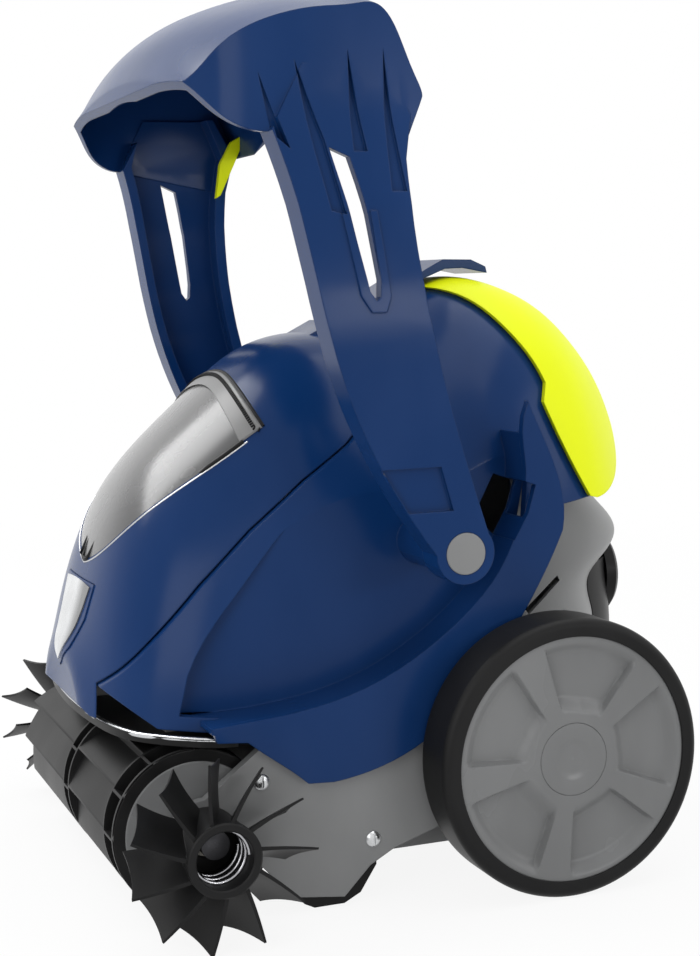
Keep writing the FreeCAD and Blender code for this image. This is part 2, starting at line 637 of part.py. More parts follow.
def main_cover():
    """Fixed blue cover: fins, skirt and rear dome in one shell, open under the hood."""
    wall, field = size("wall"), size("recess_face")
    hood = side_prism(lid_profile(), -FAR, FAR)
    shell = cover_mass().cut(cover_mass(wall, drop=30.0))
    shell = shell.common(side_prism(faceted(skirt_profile()), -FAR, FAR)).cut(hood)
    recess = side_prism(faceted(recess_profile()), 0, FAR)
    shell = shell.cut(both(recess.common(field_room(0.0))))
    floor = recess.common(field_room(-wall)).cut(field_room(0.0))
    cheek = side_prism(faceted(cheek_profile()), 0, FAR).common(field_room(-wall))
    inside = cover_mass(0.3)
    shell = shell.fuse([piece.common(inside).cut(hood) for piece in both(floor) + both(cheek)])
    band = side_prism(faceted(band_profile()), 0, 5.0)
    ledge = side_prism(faceted(ledge_profile()), 0, size("band_face")).common(field_room(-wall))
    boss = round_bar(14.0, 0, size("arm_face") - size("arm_wall") - 0.5 - field + wall,
                     size("pivot_y"), size("pivot_z"))
    panel = side_prism(panel_edge(0.5), size("panel_face") - size("panel_wall") - 0.4, size("panel_face") + 0.4)
    parts = [band.translate(Vector(size("band_face") - 5.0, 0, 0)), ledge, boss.translate(Vector(field - wall, 0, 0))]
    shell = shell.fuse(parts + [mirrored(piece) for piece in parts]).cut([panel, mirrored(panel)])
    vent = side_prism(SIDE_VENT, -FAR, FAR)
    bore = round_bar(size("pivot_radius"), -FAR, FAR, size("pivot_y"), size("pivot_z"))
    y, z, teeth, turn = train()[2]
    reach, face = size("gear_module") * (teeth / 2 + 1) + 0.8, size("train_face")
    room = round_bar(reach, face - 0.8, face + size("gear_width") + 0.8, y, z)
    return feature("main_cover", biggest(with_latch_ears(shell.cut([vent, bore] + both(room)))))


SIDE_VENT = [(-31.0, 213.0), (-18.0, 237.0), (-4.0, 232.0), (-9.0, 216.0), (-18.0, 201.0)]


def mirrored(shape):
    """The same shape on the other side of the machine."""
    return shape.mirror(Vector(), X_AXIS)


def band_profile():
    """Side view (y, z) of the proud band that borders the sunken side field."""
    return [[(-180.0, 102.5)], SKIRT_FRONT, [(-131.0, 74.6)], SKIRT_EDGE, [(14.0, 215.0), (4.0, 253.0), (-8.0, 280.0)],
            FIELD_EDGE[::-1], [(-200.0, 112.0)], [(-197.0, 104.0)]]


def ledge_profile():
    """Side view (y, z) of the wall that steps in from the band to the sunken field."""
    return [[(-200.0, 112.0)], FIELD_EDGE, [(-9.0, 262.0)],
            [(-6.5, 240.0), (-10.5, 213.0), (-25.5, 181.5), (-54.5, 153.0), (-108.0, 122.8), (-160.0, 111.8)],
            [(-200.0, 108.8)]]


def panel_edge(grow):
    """Side view (y, z) of the side plate's upper part, for the room it needs."""
    return [(-230.0, 60.0), (-230.0, 72.0 + grow), (-203.0, 72.0 + grow), (-172.0, 96.0 + grow),
            (-60.0, 136.0 + grow), (20.0, 156.0 + grow), (62.0, 130.0 + grow), (70.0, 60.0), (66.0, 30.0), (-120.0, 0.0)]


def with_latch_ears(shell):
    """Open a pocket in the dome for the latch and stand two ears beside it."""
    half, y, z = size("latch_half"), size("latch_y"), size("latch_z")
    pocket = Part.makeBox(2 * half + 1.0, 34.0, 60.0, Vector(-half - 0.5, y - 17.0, z - 12.0))
    shell = shell.cut(pocket)
    for low in (half + 0.5, -half - 5.5):
        ear = Part.makeBox(5.0, 12.0, 16.0, Vector(low, y - 6.0, z - 12.0))
        shell = shell.fuse(ear)
    return shell.cut(round_bar(size("latch_pin"), -half - 6, half + 6, y, z))


def hood_skin(outer, inner):
    """A skin between two insets of the hood, trimmed to the hood's side view."""
    step = size("fin_step")
    skin = cover_mass(outer, step).cut(cover_mass(inner, step, drop=30.0))
    return skin.common(side_prism(lid_profile(size("lid_gap")), -FAR, FAR))


def arc3(*points):
    """An arc through three points, as an edge."""
    return Part.Arc(*[Vector(*point) for point in points]).toShape()


WINDOW = {"half": 76.0, "crown": 289.0, "corner": 260.0, "waist": 218.0, "tip": 188.0, "low": -275.0, "high": -118.0}


def window_prism(grow):
    """Front-view shield outline of the hood window, pushed back through the hood."""
    half, y = WINDOW["half"] + grow, WINDOW["low"]
    crown, corner = WINDOW["crown"] + grow, WINDOW["corner"] + grow / 2
    waist, tip = WINDOW["waist"] - grow, WINDOW["tip"] - grow
    edges = [arc3((-half, y, corner), (0, y, crown), (half, y, corner)),
             arc3((half, y, corner), (0.72 * half, y, waist), (0, y, tip)),
             arc3((0, y, tip), (-0.72 * half, y, waist), (-half, y, corner))]
    return Part.Face(Part.Wire(edges)).extrude(Vector(0, WINDOW["high"] - y, 0))


def vent_prism(shrink=0.0):
    """Front-view band above the window where the ribbed vent frame sits."""
    half, y, rise = WINDOW["half"], WINDOW["low"], 8.0 - shrink
    crown, corner = WINDOW["crown"] + shrink, WINDOW["corner"] + shrink
    wide = half + 2.0
    lower = arc3((-half, y, corner), (0, y, crown), (half, y, corner))
    upper = arc3((wide, y, corner + rise), (0, y, crown + rise), (-wide, y, corner + rise))
    right = Part.LineSegment(Vector(half, y, corner), Vector(wide, y, corner + rise)).toShape()
    left = Part.LineSegment(Vector(-wide, y, corner + rise), Vector(-half, y, corner)).toShape()
    return Part.Face(Part.Wire([lower, right, upper, left])).extrude(Vector(0, WINDOW["high"] - y, 0))


def nose_prism(grow):
    """Front-view tapered outline of the nose insert."""
    low = -280.0
    points = [(-33.0 - grow, low, 177.0 + grow), (33.0 + grow, low, 177.0 + grow), (31.0 + grow, low, 157.0),
              (20.0 + grow, low, 139.0), (0.0, low, 125.0 - grow), (-20.0 - grow, low, 139.0),
              (-31.0 - grow, low, 157.0)]
    return Part.Face(lines_wire(points)).extrude(Vector(0, 60.0, 0))


def hinge_lugs():
    """Pin lugs on the hood's front edge."""
    y, z, radius = size("hinge_y"), size("hinge_z"), size("hinge_pin") + 3.0
    lugs = []
    for low in (24.0, -30.0):
        eye = round_bar(radius, low, low + 6, y, z)
        lugs.append(eye.fuse(Part.makeBox(6.0, 9.0, 2 * radius, Vector(low, y - 9.0, z - radius))))
    return lugs


def filter_lid():
    """Swinging hood shell with openings for window, vent frame and nose insert."""
    skin = hood_skin(0.0, size("wall"))
    for tool in (window_prism(0.3), vent_prism(), nose_prism(0.2)):
        skin = skin.cut(tool)
    step = size("fin_step")
    for lug in hinge_lugs():
        skin = skin.fuse(lug.common(cover_mass(1.0, step)))
    rib = side_prism([(-106.0, 312.0), (-78.0, 326.0), (-78.0, 316.0)], -22.0, 22.0)
    skin = skin.fuse(rib)
    skin = skin.cut(round_bar(size("hinge_pin") + size("running_gap"), -70, 70, size("hinge_y"), size("hinge_z")))
    return feature("filter_lid", biggest(skin))


def lid_window():
    """Smoke-clear viewing window, flush in the hood."""
    skin = hood_skin(0.2, 0.2 + size("window_wall")).common(window_prism(0.0))
    return feature("lid_window", biggest(skin))


def vent_frame():
    """Grey ribbed frame above the window."""
    return feature("vent_frame", biggest(hood_skin(-1.0, size("wall")).common(vent_prism(0.3))))


def nose_insert():
    """Bare bright insert on the nose."""
    return feature("nose_insert", biggest(hood_skin(-0.6, size("wall")).common(nose_prism(0.0))))


def hinge_bar():
    """Fixed beam on the front guard whose arms carry the hood's hinge pins."""
    y, z, radius = size("hinge_y"), size("hinge_z"), size("hinge_pin") + 3.0
    foot = size("lip_z") + size("lip_plate")
    beam = Part.makeBox(200.0, 9.0, z + 3.0 - foot, Vector(-100.0, -214.0, foot))
    for low in (30.5, 17.5, -23.5, -36.5):
        arm = Part.makeBox(6.0, -206.0 - y, 6.0, Vector(low, y, z - 3.0))
        beam = beam.fuse(arm.fuse(round_bar(radius, low, low + 6, y, z)))
    shape = beam.cut(round_bar(size("hinge_pin"), -80, 80, y, z))
    return feature("hinge_bar", shape.removeSplitter())


def lid_hinge_pins():
    """Two short steel pins of the hood hinge."""
    pins = [round_bar(size("hinge_pin"), low, low + 19, size("hinge_y"), size("hinge_z")) for low in (17.5, -36.5)]
    return feature("lid_hinge_pins", Part.makeCompound(pins))


def guard_edge(inset):
    """Plan outline of the guard over the roller: curved front, straight back on the tray's front wall."""
    points = [(139.0, -184.0), (136.0, -196.0), (128.0, -208.0), (116.0, -221.0), (98.0, -234.0), (60.0, -243.5),
              (0.0, -247.0)]
    front = [Vector(x - inset * x / 139.0, y + inset, 0) for x, y in points]
    front += [Vector(-point.x, point.y, 0) for point in front[-2::-1]]
    curve = Part.BSplineCurve()
    curve.interpolate(front)
    back, waist = size("tray_front"), 121.5 - inset
    corners = [front[-1], Vector(-waist, front[-1].y, 0), Vector(-waist, back, 0), Vector(waist, back, 0),
               Vector(waist, front[0].y, 0), front[0]]
    edges = [Part.LineSegment(one, other).toShape() for one, other in zip(corners, corners[1:])]
    return Part.Wire([curve.toShape()] + edges)


def front_lip():
    """Grey guard plate over the roller with a raised bright front rim."""
    base = size("lip_z")
    plate = Part.Face(guard_edge(0.0)).extrude(Vector(0, 0, size("lip_plate")))
    rim = Part.Face(guard_edge(0.0)).extrude(Vector(0, 0, size("lip_bar")))
    rim = rim.cut(Part.Face(guard_edge(5.0)).extrude(Vector(0, 0, size("lip_bar"))))
    rim = rim.common(Part.makeBox(300, 66, 20, Vector(-150, -249, 0)))
    shape = plate.fuse(rim).translate(Vector(0, 0, base))
    return feature("front_lip", shape.removeSplitter())


def skid_pads():
    """Rubber rest pads under the two side plates."""
    outline = [(-150.0, 10.0), (-146.0, 3.0), (-140.0, 0.0), (-122.0, 0.0), (-112.0, 5.0), (-102.0, 20.0),
               (-102.0, 24.5), (-150.0, 24.5)]
    inner = size("panel_face") - size("panel_wall")
    pad = side_prism(outline, inner - 14.0, inner)
    return feature("skid_pads", Part.makeCompound([pad, mirrored(pad)]))


def side_screws():
    """Pan-head screws on the outer faces of the side plates."""
    screws = []
    for y, z in ((-171.0, 78.0), (-106.0, 37.0), (-20.0, 40.0), (20.0, 97.0)):
        face = size("panel_face")
        head = Part.makeSphere(6.0, Vector(face - 3.4, y, z)).common(round_bar(4.5, face, face + 4, y, z))
        head = head.cut(Part.makeBox(2.0, 1.2, 7.0, Vector(face + 1.4, y - 0.6, z - 3.5)))
        screws += [head, mirrored(head)]
    return feature("side_screws", Part.makeCompound(screws))


def lid_latch():
    """Long release lever on the crown, with a finger tab over a hollow."""
    half, y, z = size("latch_half"), size("latch_y"), size("latch_z")
    outline = [(-74.0, 322.5), (-74.0, 327.0), (-40.0, 343.5), (-14.0, 357.5), (-5.0, 362.0), (14.0, 361.5),
               (24.0, 357.0), (25.0, 353.0), (20.0, 354.0), (8.0, 356.4), (-4.0, 356.0), (-18.0, 350.5), (-60.0, 327.0)]
    lever = side_prism(outline, -half, half)
    lugs = [round_bar(size("latch_pin") + 3.0, low, low + 5, y, z).fuse(
        Part.makeBox(5.0, 6.0, 6.0, Vector(low, y - 3.0, z))) for low in (-half, half - 5)]
    lever = lever.fuse(lugs).cut(round_bar(size("latch_pin") + size("running_gap"), -half - 1, half + 1, y, z))
    return feature("lid_latch", biggest(lever))


def latch_pin():
    """Steel pin of the latch."""
    reach = size("latch_half") + 5.5
    return feature("latch_pin", round_bar(size("latch_pin"), -reach, reach, size("latch_y"), size("latch_z")))


def tail_profile():
    """Side view (y, z) of the lime tail cover."""
    rear = [(y, z - 1.0) for y, z in TAIL_EDGE]
    return [[(-20.0, 380.0)], [(-22.0, 346.0)], [(-4.0, 337.0), (9.0, 321.0), (21.0, 301.0), (26.0, 287.0)],
            [(21.0, 276.0)], [(30.0, 250.0), (46.0, 219.5)], [(52.0, 218.0)], rear, [(140.0, 299.0)], [(140.0, 380.0)]]


def tail_cover():
    """Lime cover wrapped over the rear dome."""
    gap, wall = size("tail_gap"), size("tail_wall")
    skin = cover_mass(-gap - wall).cut(cover_mass(-gap))
    return feature("tail_cover", biggest(skin.common(side_prism(tail_profile(), -FAR, FAR))))


def half_round(half, depth, height):
    """A D-shaped level outline: straight front edge, half-elliptical rear."""
    count, front = 16, 8.0
    points = [Vector(half * math.cos(math.pi * index / count), front + depth * math.sin(math.pi * index / count),
                     height) for index in range(count + 1)]
    curve = Part.BSplineCurve()
    curve.interpolate(points)
    return Part.Wire([curve.toShape(), Part.LineSegment(points[-1], points[0]).toShape()])


def stacked(levels, inset):
    """D-shaped levels (height, half, depth) lofted into a solid, set in by a wall."""
    return Part.makeLoft([half_round(half - inset, depth - inset, height) for height, half, depth in levels], True,
                         False)


REAR_LEVELS = [(126.0, 94.0, 78.0), (150.0, 97.0, 84.0), (163.0, 97.0, 87.0), (175.0, 98.0, 100.0),
               (186.0, 98.0, 107.0), (198.0, 97.0, 101.0), (212.0, 93.0, 88.0), (226.0, 88.0, 82.0), (240.0, 80.0, 74.0)]


def rear_hull():
    """Grey rounded rear housing, open below, with round mouths for nozzle and cable gland."""
    wall = size("wall")
    hollow = [(REAR_LEVELS[0][0] - 1, *REAR_LEVELS[0][1:])] + REAR_LEVELS[1:-1]
    hollow.append((REAR_LEVELS[-1][0] - wall, *REAR_LEVELS[-1][1:]))
    shell = stacked(REAR_LEVELS, 0.0).cut(stacked(hollow, wall))
    shell = shell.cut(Part.makeBox(180.0, 20.0, 82.0, Vector(-90.0, 0.0, 125.0)))
    rear = Vector(0, 1, 0)
    mouth = Part.makeCylinder(size("duct_radius") + 0.3, 80.0, Vector(0, 60.0, size("pump_z")), rear)
    relief = Part.makeCylinder(size("nozzle_radius") + 0.4, 30.0, Vector(0, 100.0, size("pump_z")), rear)
    gland = Part.makeCylinder(size("gland_radius"), 60.0, Vector(-size("gland_x"), 60.0, size("gland_z")), rear)
    slot = side_prism([(12.0, 151.0), (36.0, 169.0), (38.5, 165.5), (14.5, 147.5)], 80.0, 110.0)
    return feature("rear_hull", biggest(shell.cut([mouth, relief, gland, slot, mirrored(slot)])))


def rear_bumper():
    """Black shell below the rear housing, round the outlet."""
    levels = [(92.0, 64.0, 100.0), (104.0, 70.0, 106.0), (140.0, 70.0, 108.0), (166.0, 66.0, 106.0)]
    hollow = [(levels[0][0] - 1, *levels[0][1:])] + levels[1:-1] + [(levels[-1][0] + 1, *levels[-1][1:])]
    shell = stacked(levels, 0.0).cut([stacked(hollow, 4.0), stacked(REAR_LEVELS, -0.4)])
    mouth = Part.makeCylinder(size("nozzle_radius") + 0.3, 80.0, Vector(0, 70.0, size("pump_z")), Vector(0, 1, 0))
    behind = Part.makeBox(200.0, 60.0, 100.0, Vector(-100.0, size("tray_rear"), 90.0))
    return feature("rear_bumper", biggest(shell.common(behind).cut(mouth)))


def along_y(points, z):
    """A solid of revolution about a Y line through x = 0 at height z, from (y, radius) points."""
    face = Part.Face(lines_wire([(radius, y, 0.0) for y, radius in points]))
    shape = face.revolve(Vector(), Vector(0, 1, 0), 360)
    return shape.translate(Vector(0, 0, z))


def outlet_nozzle():
    """Black ring at the end of the pump duct."""
    bore, rim, low, high = (size("duct_radius") - size("duct_wall"), size("nozzle_radius"), size("duct_end"),
                            size("nozzle_end"))
    return feature("outlet_nozzle", along_y([(low, bore), (low, rim), (high - 3.0, rim), (high, rim - 3.0),
                                             (high, bore + 1.5), (high - 1.5, bore)], size("pump_z")))


def pump_duct():
    """Straight duct round the impeller."""
    bore, low, high = size("duct_radius") - size("duct_wall"), size("duct_front"), size("duct_end")
    return feature("pump_duct", along_y([(low, bore + 1.5), (low, size("duct_radius")), (high, size("duct_radius")),
                                         (high, bore), (low + 1.5, bore)], size("pump_z")))


def impeller():
    """Four-bladed axial impeller with its drive shaft."""
    z, tip = size("pump_z"), size("duct_radius") - size("duct_wall") - size("impeller_gap")
    low = size("duct_front") + 8.0
    blade = Part.makeBox(2.0, 12.0, tip - 4.0, Vector(-1.0, low + 1.0, 4.0))
    blade = blade.rotate(Vector(0, low + 7.0, 0), Vector(0, 0, 1), 35)
    blade = blade.common(Part.makeCylinder(tip, 30.0, Vector(0, low - 5.0, 0), Vector(0, 1, 0)))
    blades = [blade.copy().rotate(Vector(), Vector(0, 1, 0), 90 * index) for index in range(4)]
    hub = along_y([(low, 0), (low, 7.0), (low + 12.0, 7.0), (low + 18.0, 3.0), (low + 18.0, 0)], 0)
    shaft = Part.makeCylinder(size("pump_shaft"), low - 30.0, Vector(0, 30.0, 0), Vector(0, 1, 0))
    shape = hub.fuse(blades + [shaft])
    return feature("impeller", shape.translate(Vector(0, 0, z)))


def pump_motor():
    """Sealed pump motor can with a bore for the impeller shaft."""
    bore, can = size("pump_shaft") + size("running_gap"), size("pump_motor_radius")
    return feature("pump_motor", along_y([(-22.0, 0), (-22.0, can - 3), (-19.0, can), (34.0, can), (36.0, can - 2),
                                          (36.0, 8.0), (42.0, 8.0), (42.0, bore), (28.0, bore), (28.0, 0)],
                                         size("pump_z")))


def drive_motor(side):
    """Gearmotor can that turns one drive pinion."""
    y, z = -pinion_reach(), size("wheel_radius")
    can, bore = size("drive_motor_radius"), size("pinion_core") + size("running_gap")
    high = size("block_half") - size("wall") - 1.0
    shape = round_bar(can, 10.0, high, y, z).fuse(round_bar(can - 5.0, 4.0, 10.0, y, z))
    shape = shape.cut(round_bar(bore, size("block_half") - 17.0, high + 1, y, z))
    return feature(f"drive_motor_{side}", shape if SIDES[side] > 0 else mirrored(shape))


def motor_block():
    """Sealed housing round the motors and the control board, open below for its base plate."""
    half, wall = size("block_half"), size("wall")
    front, rear, base, top = size("block_front"), size("block_rear"), size("block_base"), size("block_top")
    outer = Part.makeBox(2 * half, rear - front, top - base, Vector(-half, front, base))
    tall = [edge for edge in outer.Edges if abs(edge.Vertexes[0].Z - edge.Vertexes[1].Z) > 1]
    outer = outer.makeFillet(10.0, tall)
    inner = Part.makeBox(2 * (half - wall), rear - front - 2 * wall, top - base - wall,
                         Vector(wall - half, front + wall, base))
    shape = outer.cut(inner)
    bore = size("pinion_core") + 0.5
    shape = shape.cut(round_bar(bore, -half - 1, half + 1, -pinion_reach(), size("wheel_radius")))
    seat = Part.makeCylinder(8.1, 2 * wall, Vector(0, rear - 2 * wall + 1, size("pump_z")), Vector(0, 1, 0))
    return feature("motor_block", shape.cut(seat))


def block_base():
    """Base plate that closes the motor block and stands on the tray floor."""
    half, floor = size("block_half"), size("tray_floor") + size("wall")
    front, rear = size("block_front"), size("block_rear")
    return feature("block_base", Part.makeBox(2 * half, rear - front, size("block_base") - floor,
                                              Vector(-half, front, floor)))


def control_board():
    """Circuit board with its larger components."""
    board = Part.makeBox(108.0, 64.0, 1.6, Vector(-54.0, -20.0, 112.0))
    chips = [Part.makeBox(long, wide, tall, Vector(x, y, 113.6)) for x, y, long, wide, tall in
             ((-46.0, -12.0, 22.0, 16.0, 4.0), (-14.0, 8.0, 14.0, 14.0, 3.0), (22.0, -10.0, 24.0, 12.0, 10.0),
              (24.0, 18.0, 16.0, 16.0, 6.0))]
    posts = [Part.makeCylinder(3.0, 112.0 - size("block_base"), Vector(x, y, size("block_base")))
             for x in (-50.0, 50.0) for y in (-14.0, 38.0)]
    return feature("control_board", board.fuse(chips + posts))


def cable_gland():
    """Black gland in the rear housing with a bore for the floating cable."""
    y, radius, bore = 80.0, size("gland_radius") - 0.1, size("gland_bore")
    shape = along_y([(y, bore), (y, radius), (106.0, radius), (106.0, radius + 3.0), (112.0, radius + 3.0),
                     (112.0, radius), (y + size("gland_length"), radius - 2.0), (y + size("gland_length"), bore)],
                    size("gland_z"))
    return feature("cable_gland", shape.translate(Vector(-size("gland_x"), 0, 0)))


# ---------------------------------------------------------------- filter and intake

def filter_basket():
    """Open basket frame standing on the tray floor, with an intake hole and two flap lugs."""
    half, front, rear = size("basket_half"), size("basket_front"), size("basket_rear")
    base, top = size("tray_floor") + size("wall"), size("basket_top")
    depth, rail = rear - front, 5.0
    shape = Part.makeBox(2 * half, depth, top - base, Vector(-half, front, base))
    tools = [Part.makeBox(2 * (half - rail), depth - 2 * rail, top, Vector(rail - half, front + rail, base + 3.0))]
    for low, high in ((base + 10.0, base + 78.0), (base + 84.0, top - 8.0)):
        tools.append(Part.makeBox(2 * half + 2, depth - 20.0, high - low, Vector(-half - 1, front + 10.0, low)))
        for x in (-half + 10.0, -half / 3 + 3.0, half / 3 + 3.0):
            tools.append(Part.makeBox(2 * half / 3 - 13.0, depth + 2, high - low, Vector(x, front - 1, low)))
    hole = size("flap_half") - 3.0
    tools.append(Part.makeBox(2 * hole, 20.0, 8.0, Vector(-hole, front + 8.0, base - 1)))
    shape = shape.cut(tools)
    grip = Part.makeBox(2 * half - 4.0, 8.0, 6.0, Vector(2.0 - half, (front + rear) / 2 - 4.0, top - 6.0))
    lugs = [Part.makeBox(4.0, 8.0, 7.6, Vector(low, size("flap_y") - 4.0, base + 3.0))
            for low in (size("flap_half") + 0.6, -size("flap_half") - 4.6)]
    reach = size("flap_half") + 6
    pin = round_bar(size("flap_pin"), -reach, reach, size("flap_y"), size("flap_z"))
    return feature("filter_basket", shape.fuse([grip] + lugs).cut(pin).removeSplitter())


def filter_mesh():
    """Fine mesh panels lining the basket's four sides."""
    half, front, rear = size("basket_half") - 5.0, size("basket_front") + 5.0, size("basket_rear") - 5.0
    base, top, wall = size("tray_floor") + size("wall") + 3.2, size("basket_top") - 6.4, size("mesh_wall")
    tall = top - base
    panels = [Part.makeBox(wall, rear - front - 4.0, tall, Vector(half - wall - 0.05, front + 2.0, base)),
              Part.makeBox(wall, rear - front - 4.0, tall, Vector(0.05 - half, front + 2.0, base)),
              Part.makeBox(2 * half - 4.0, wall, tall, Vector(2.0 - half, front + 0.05, base)),
              Part.makeBox(2 * half - 4.0, wall, tall, Vector(2.0 - half, rear - wall - 0.05, base))]
    return feature("filter_mesh", Part.makeCompound(panels))


def inlet_flap():
    """Check flap over the intake hole."""
    half, y, z = size("flap_half"), size("flap_y"), size("flap_z")
    low = size("tray_floor") + size("wall") + 3.4
    plate = Part.makeBox(2 * half, 30.0, 2.0, Vector(-half, y - 30.0, low))
    knuckle = round_bar(3.0, -half, half, y, z)
    bore = round_bar(size("flap_pin") + size("running_gap"), -half - 1, half + 1, y, z)
    return feature("inlet_flap", plate.fuse(knuckle).cut(bore))


def flap_pin():
    """Steel pin of the check flap."""
    reach = size("flap_half") + 4.6
    return feature("flap_pin", round_bar(size("flap_pin"), -reach, reach, size("flap_y"), size("flap_z")))


# ---------------------------------------------------------------- handle

ARM_EDGE = [[(-164.0, 428.0), (-153.0, 385.0), (-143.0, 333.0), (-131.0, 290.0), (-109.0, 243.0), (-82.0, 202.0)],
            [(-48.0, 202.0)], [(-66.0, 258.0), (-83.0, 325.0), (-91.0, 413.0)], [(-86.0, 436.0)],
            [(-100.0, 462.0)], [(-146.0, 462.0)]]
ARM_HOLLOW = [[(-158.0, 430.0), (-147.0, 385.0), (-137.0, 333.0), (-125.0, 292.0), (-104.0, 248.0), (-97.0, 236.0)],
              [(-66.0, 236.0)], [(-73.0, 259.0), (-90.0, 326.0), (-98.0, 412.0)], [(-94.0, 436.0)],
              [(-106.0, 464.0)], [(-150.0, 464.0)]]
ARM_SLOT = [(-134.0, 419.0), (-123.0, 414.0), (-119.5, 400.0), (-116.0, 384.0), (-111.5, 350.0), (-112.0, 341.0),
            (-114.5, 339.0), (-118.0, 344.0), (-126.0, 385.0)]
SLOT_RIM = [(-127.0, 386.0), (-131.0, 386.0), (-123.0, 342.0), (-117.0, 333.0), (-109.0, 333.0), (-106.0, 341.0),
            (-111.0, 386.0), (-115.0, 386.0), (-111.5, 350.0), (-112.0, 341.0), (-114.5, 339.0), (-118.0, 344.0)]
GROOVES = [([(-168.5, 458.0), (-162.0, 424.0), (-155.0, 418.0)], 6.0),
           ([(-150.0, 464.0), (-143.0, 423.0), (-136.0, 386.0), (-128.0, 384.0), (-136.0, 423.0)], 2.5),
           ([(-121.0, 470.0), (-120.0, 417.0), (-112.5, 417.0)], 2.5),
           ([(-101.0, 471.0), (-101.0, 396.0), (-92.5, 396.0)], 2.5),
           ([(-113.0, 250.0), (-79.0, 250.0), (-72.0, 226.0), (-98.0, 226.0)], 2.5)]
PAD = [(-80.0, 452.0), (-83.0, 441.0), (-96.0, 411.0), (-99.0, 409.0), (-97.0, 432.0), (-89.0, 447.0)]
LEAN = [(180.0, 180.0), (181.5, 255.0), (182.5, 320.0), (181.0, 350.0), (176.0, 390.0), (170.0, 415.0),
        (166.5, 432.0), (164.9, 446.0), (164.9, 495.0)]


def lean_band(outer, inner):
    """Front view strip between two insets of the arms' outer face, as a prism along Y."""
    face = [(x - outer, -FAR, z) for x, z in LEAN]
    back = [(x - inner, -FAR, z) for x, z in reversed(LEAN)]
    return Part.Face(lines_wire(face + back)).extrude(Vector(0, 2 * FAR, 0))


def grip_section(y, half, shoulder, crown, base):
    """One closed section of the grip in the XZ plane: upright ends under an arched top."""
    corners = [(-half, y, shoulder), (-half, y, base), (half, y, base), (half, y, shoulder)]
    edges = [arc3(corners[3], (0, y, crown), corners[0])]
    edges += [Part.LineSegment(Vector(*one), Vector(*other)).toShape() for one, other in zip(corners, corners[1:])]
    return Part.Wire(edges)


def grip_mass(inset):
    """The mass under the grip's outer skin, or the hollow inside it."""
    sections = [(-204.0, 122.0, 452.0, 466.0), (-200.0, 131.0, 456.0, 474.0), (-194.0, 140.0, 462.0, 484.0),
                (-187.0, 149.0, 471.0, 492.0), (-175.0, 157.0, 480.0, 501.0), (-157.0, 163.0, 487.0, 509.0),
                (-137.0, 165.2, 491.0, 515.0), (-117.0, 165.5, 493.0, 518.0), (-103.0, 165.5, 493.0, 518.0),
                (-96.0, 165.5, 486.0, 511.0), (-89.0, 165.5, 471.0, 497.0), (-83.0, 165.5, 457.0, 483.0),
                (-79.0, 165.5, 447.0, 471.0)]
    first, last = sections[0][0], sections[-1][0]
    middle, reach = (first + last) / 2, (last - first) / 2
    wires = [grip_section(y - inset * (y - middle) / reach, half - inset, shoulder - inset, crown - inset,
                          400.0 - inset) for y, half, shoulder, crown in sections]
    return Part.makeLoft(wires, True, False)


def handle():
    """Carrying handle: two slotted channel arms and a hollow arched grip, moulded in one piece."""
    wall, back = size("grip_wall"), size("arm_wall")
    skin = grip_mass(0.0).cut(grip_mass(wall))
    clip = side_prism([[(-215.0, 470.0), (-206.0, 461.0), (-199.0, 454.0), (-192.0, 444.5), (-184.0, 435.0),
                        (-176.0, 430.0), (-164.0, 427.5)], [(-91.0, 413.0)],
                       [(-85.5, 430.0), (-79.0, 446.0), (-76.0, 470.0)], [(-76.0, 525.0)], [(-215.0, 525.0)]],
                      -FAR, FAR)
    arch = Part.Face(Part.Wire([arc3((-166.0, -FAR, 405.0), (0, -FAR, 457.0), (166.0, -FAR, 405.0)),
                                Part.LineSegment(Vector(166.0, -FAR, 405.0), Vector(-166.0, -FAR, 405.0)).toShape()]))
    skin = skin.common(clip).cut(arch.extrude(Vector(0, 2 * FAR, 0)))
    eye = round_bar(size("eye_radius"), 0, FAR, size("pivot_y"), size("pivot_z"))
    arm = side_prism(ARM_EDGE, 0, FAR).fuse(eye).common(lean_band(0.0, back))
    arm = arm.cut(side_prism(ARM_HOLLOW, 0, FAR).common(lean_band(size("arm_skin"), back + 1)))
    arm = arm.fuse(side_prism(SLOT_RIM, 0, FAR).common(lean_band(-1.2, 1.0)))
    arms = [arm, mirrored(arm)]
    shape = skin.fuse(arms)
    tools = [side_prism(ARM_SLOT, -FAR, FAR).common(side_band) for side_band in both(lean_band(-3.0, back + 3))]
    for outline, depth in GROOVES:
        tools += both(side_prism(outline, 0, FAR).common(lean_band(-3.0, depth)))
    tools += both(side_prism(PAD, 0, FAR).common(lean_band(back, back + 5.3)))
    bore, seat = size("pivot_radius") + size("running_gap"), size("cap_disc") + 0.1
    tools.append(round_bar(bore, -FAR, FAR, size("pivot_y"), size("pivot_z")))
    face = size("arm_face")
    tools += both(round_bar(seat, face - size("cap_seat"), FAR, size("pivot_y"), size("pivot_z")))
    return feature("handle", biggest(shape.cut(tools)))


def both(shape):
    """A left-hand shape and its mirror image."""
    return [shape, mirrored(shape)]


def grip_pads():
    """Lime crescent pads on the inner faces of the arms, below the grip."""
    inner = lean_band(size("arm_wall") + 0.1, size("arm_wall") + 5.0)
    return feature("grip_pads", Part.makeCompound(both(side_prism(PAD, 0, FAR).common(inner))))


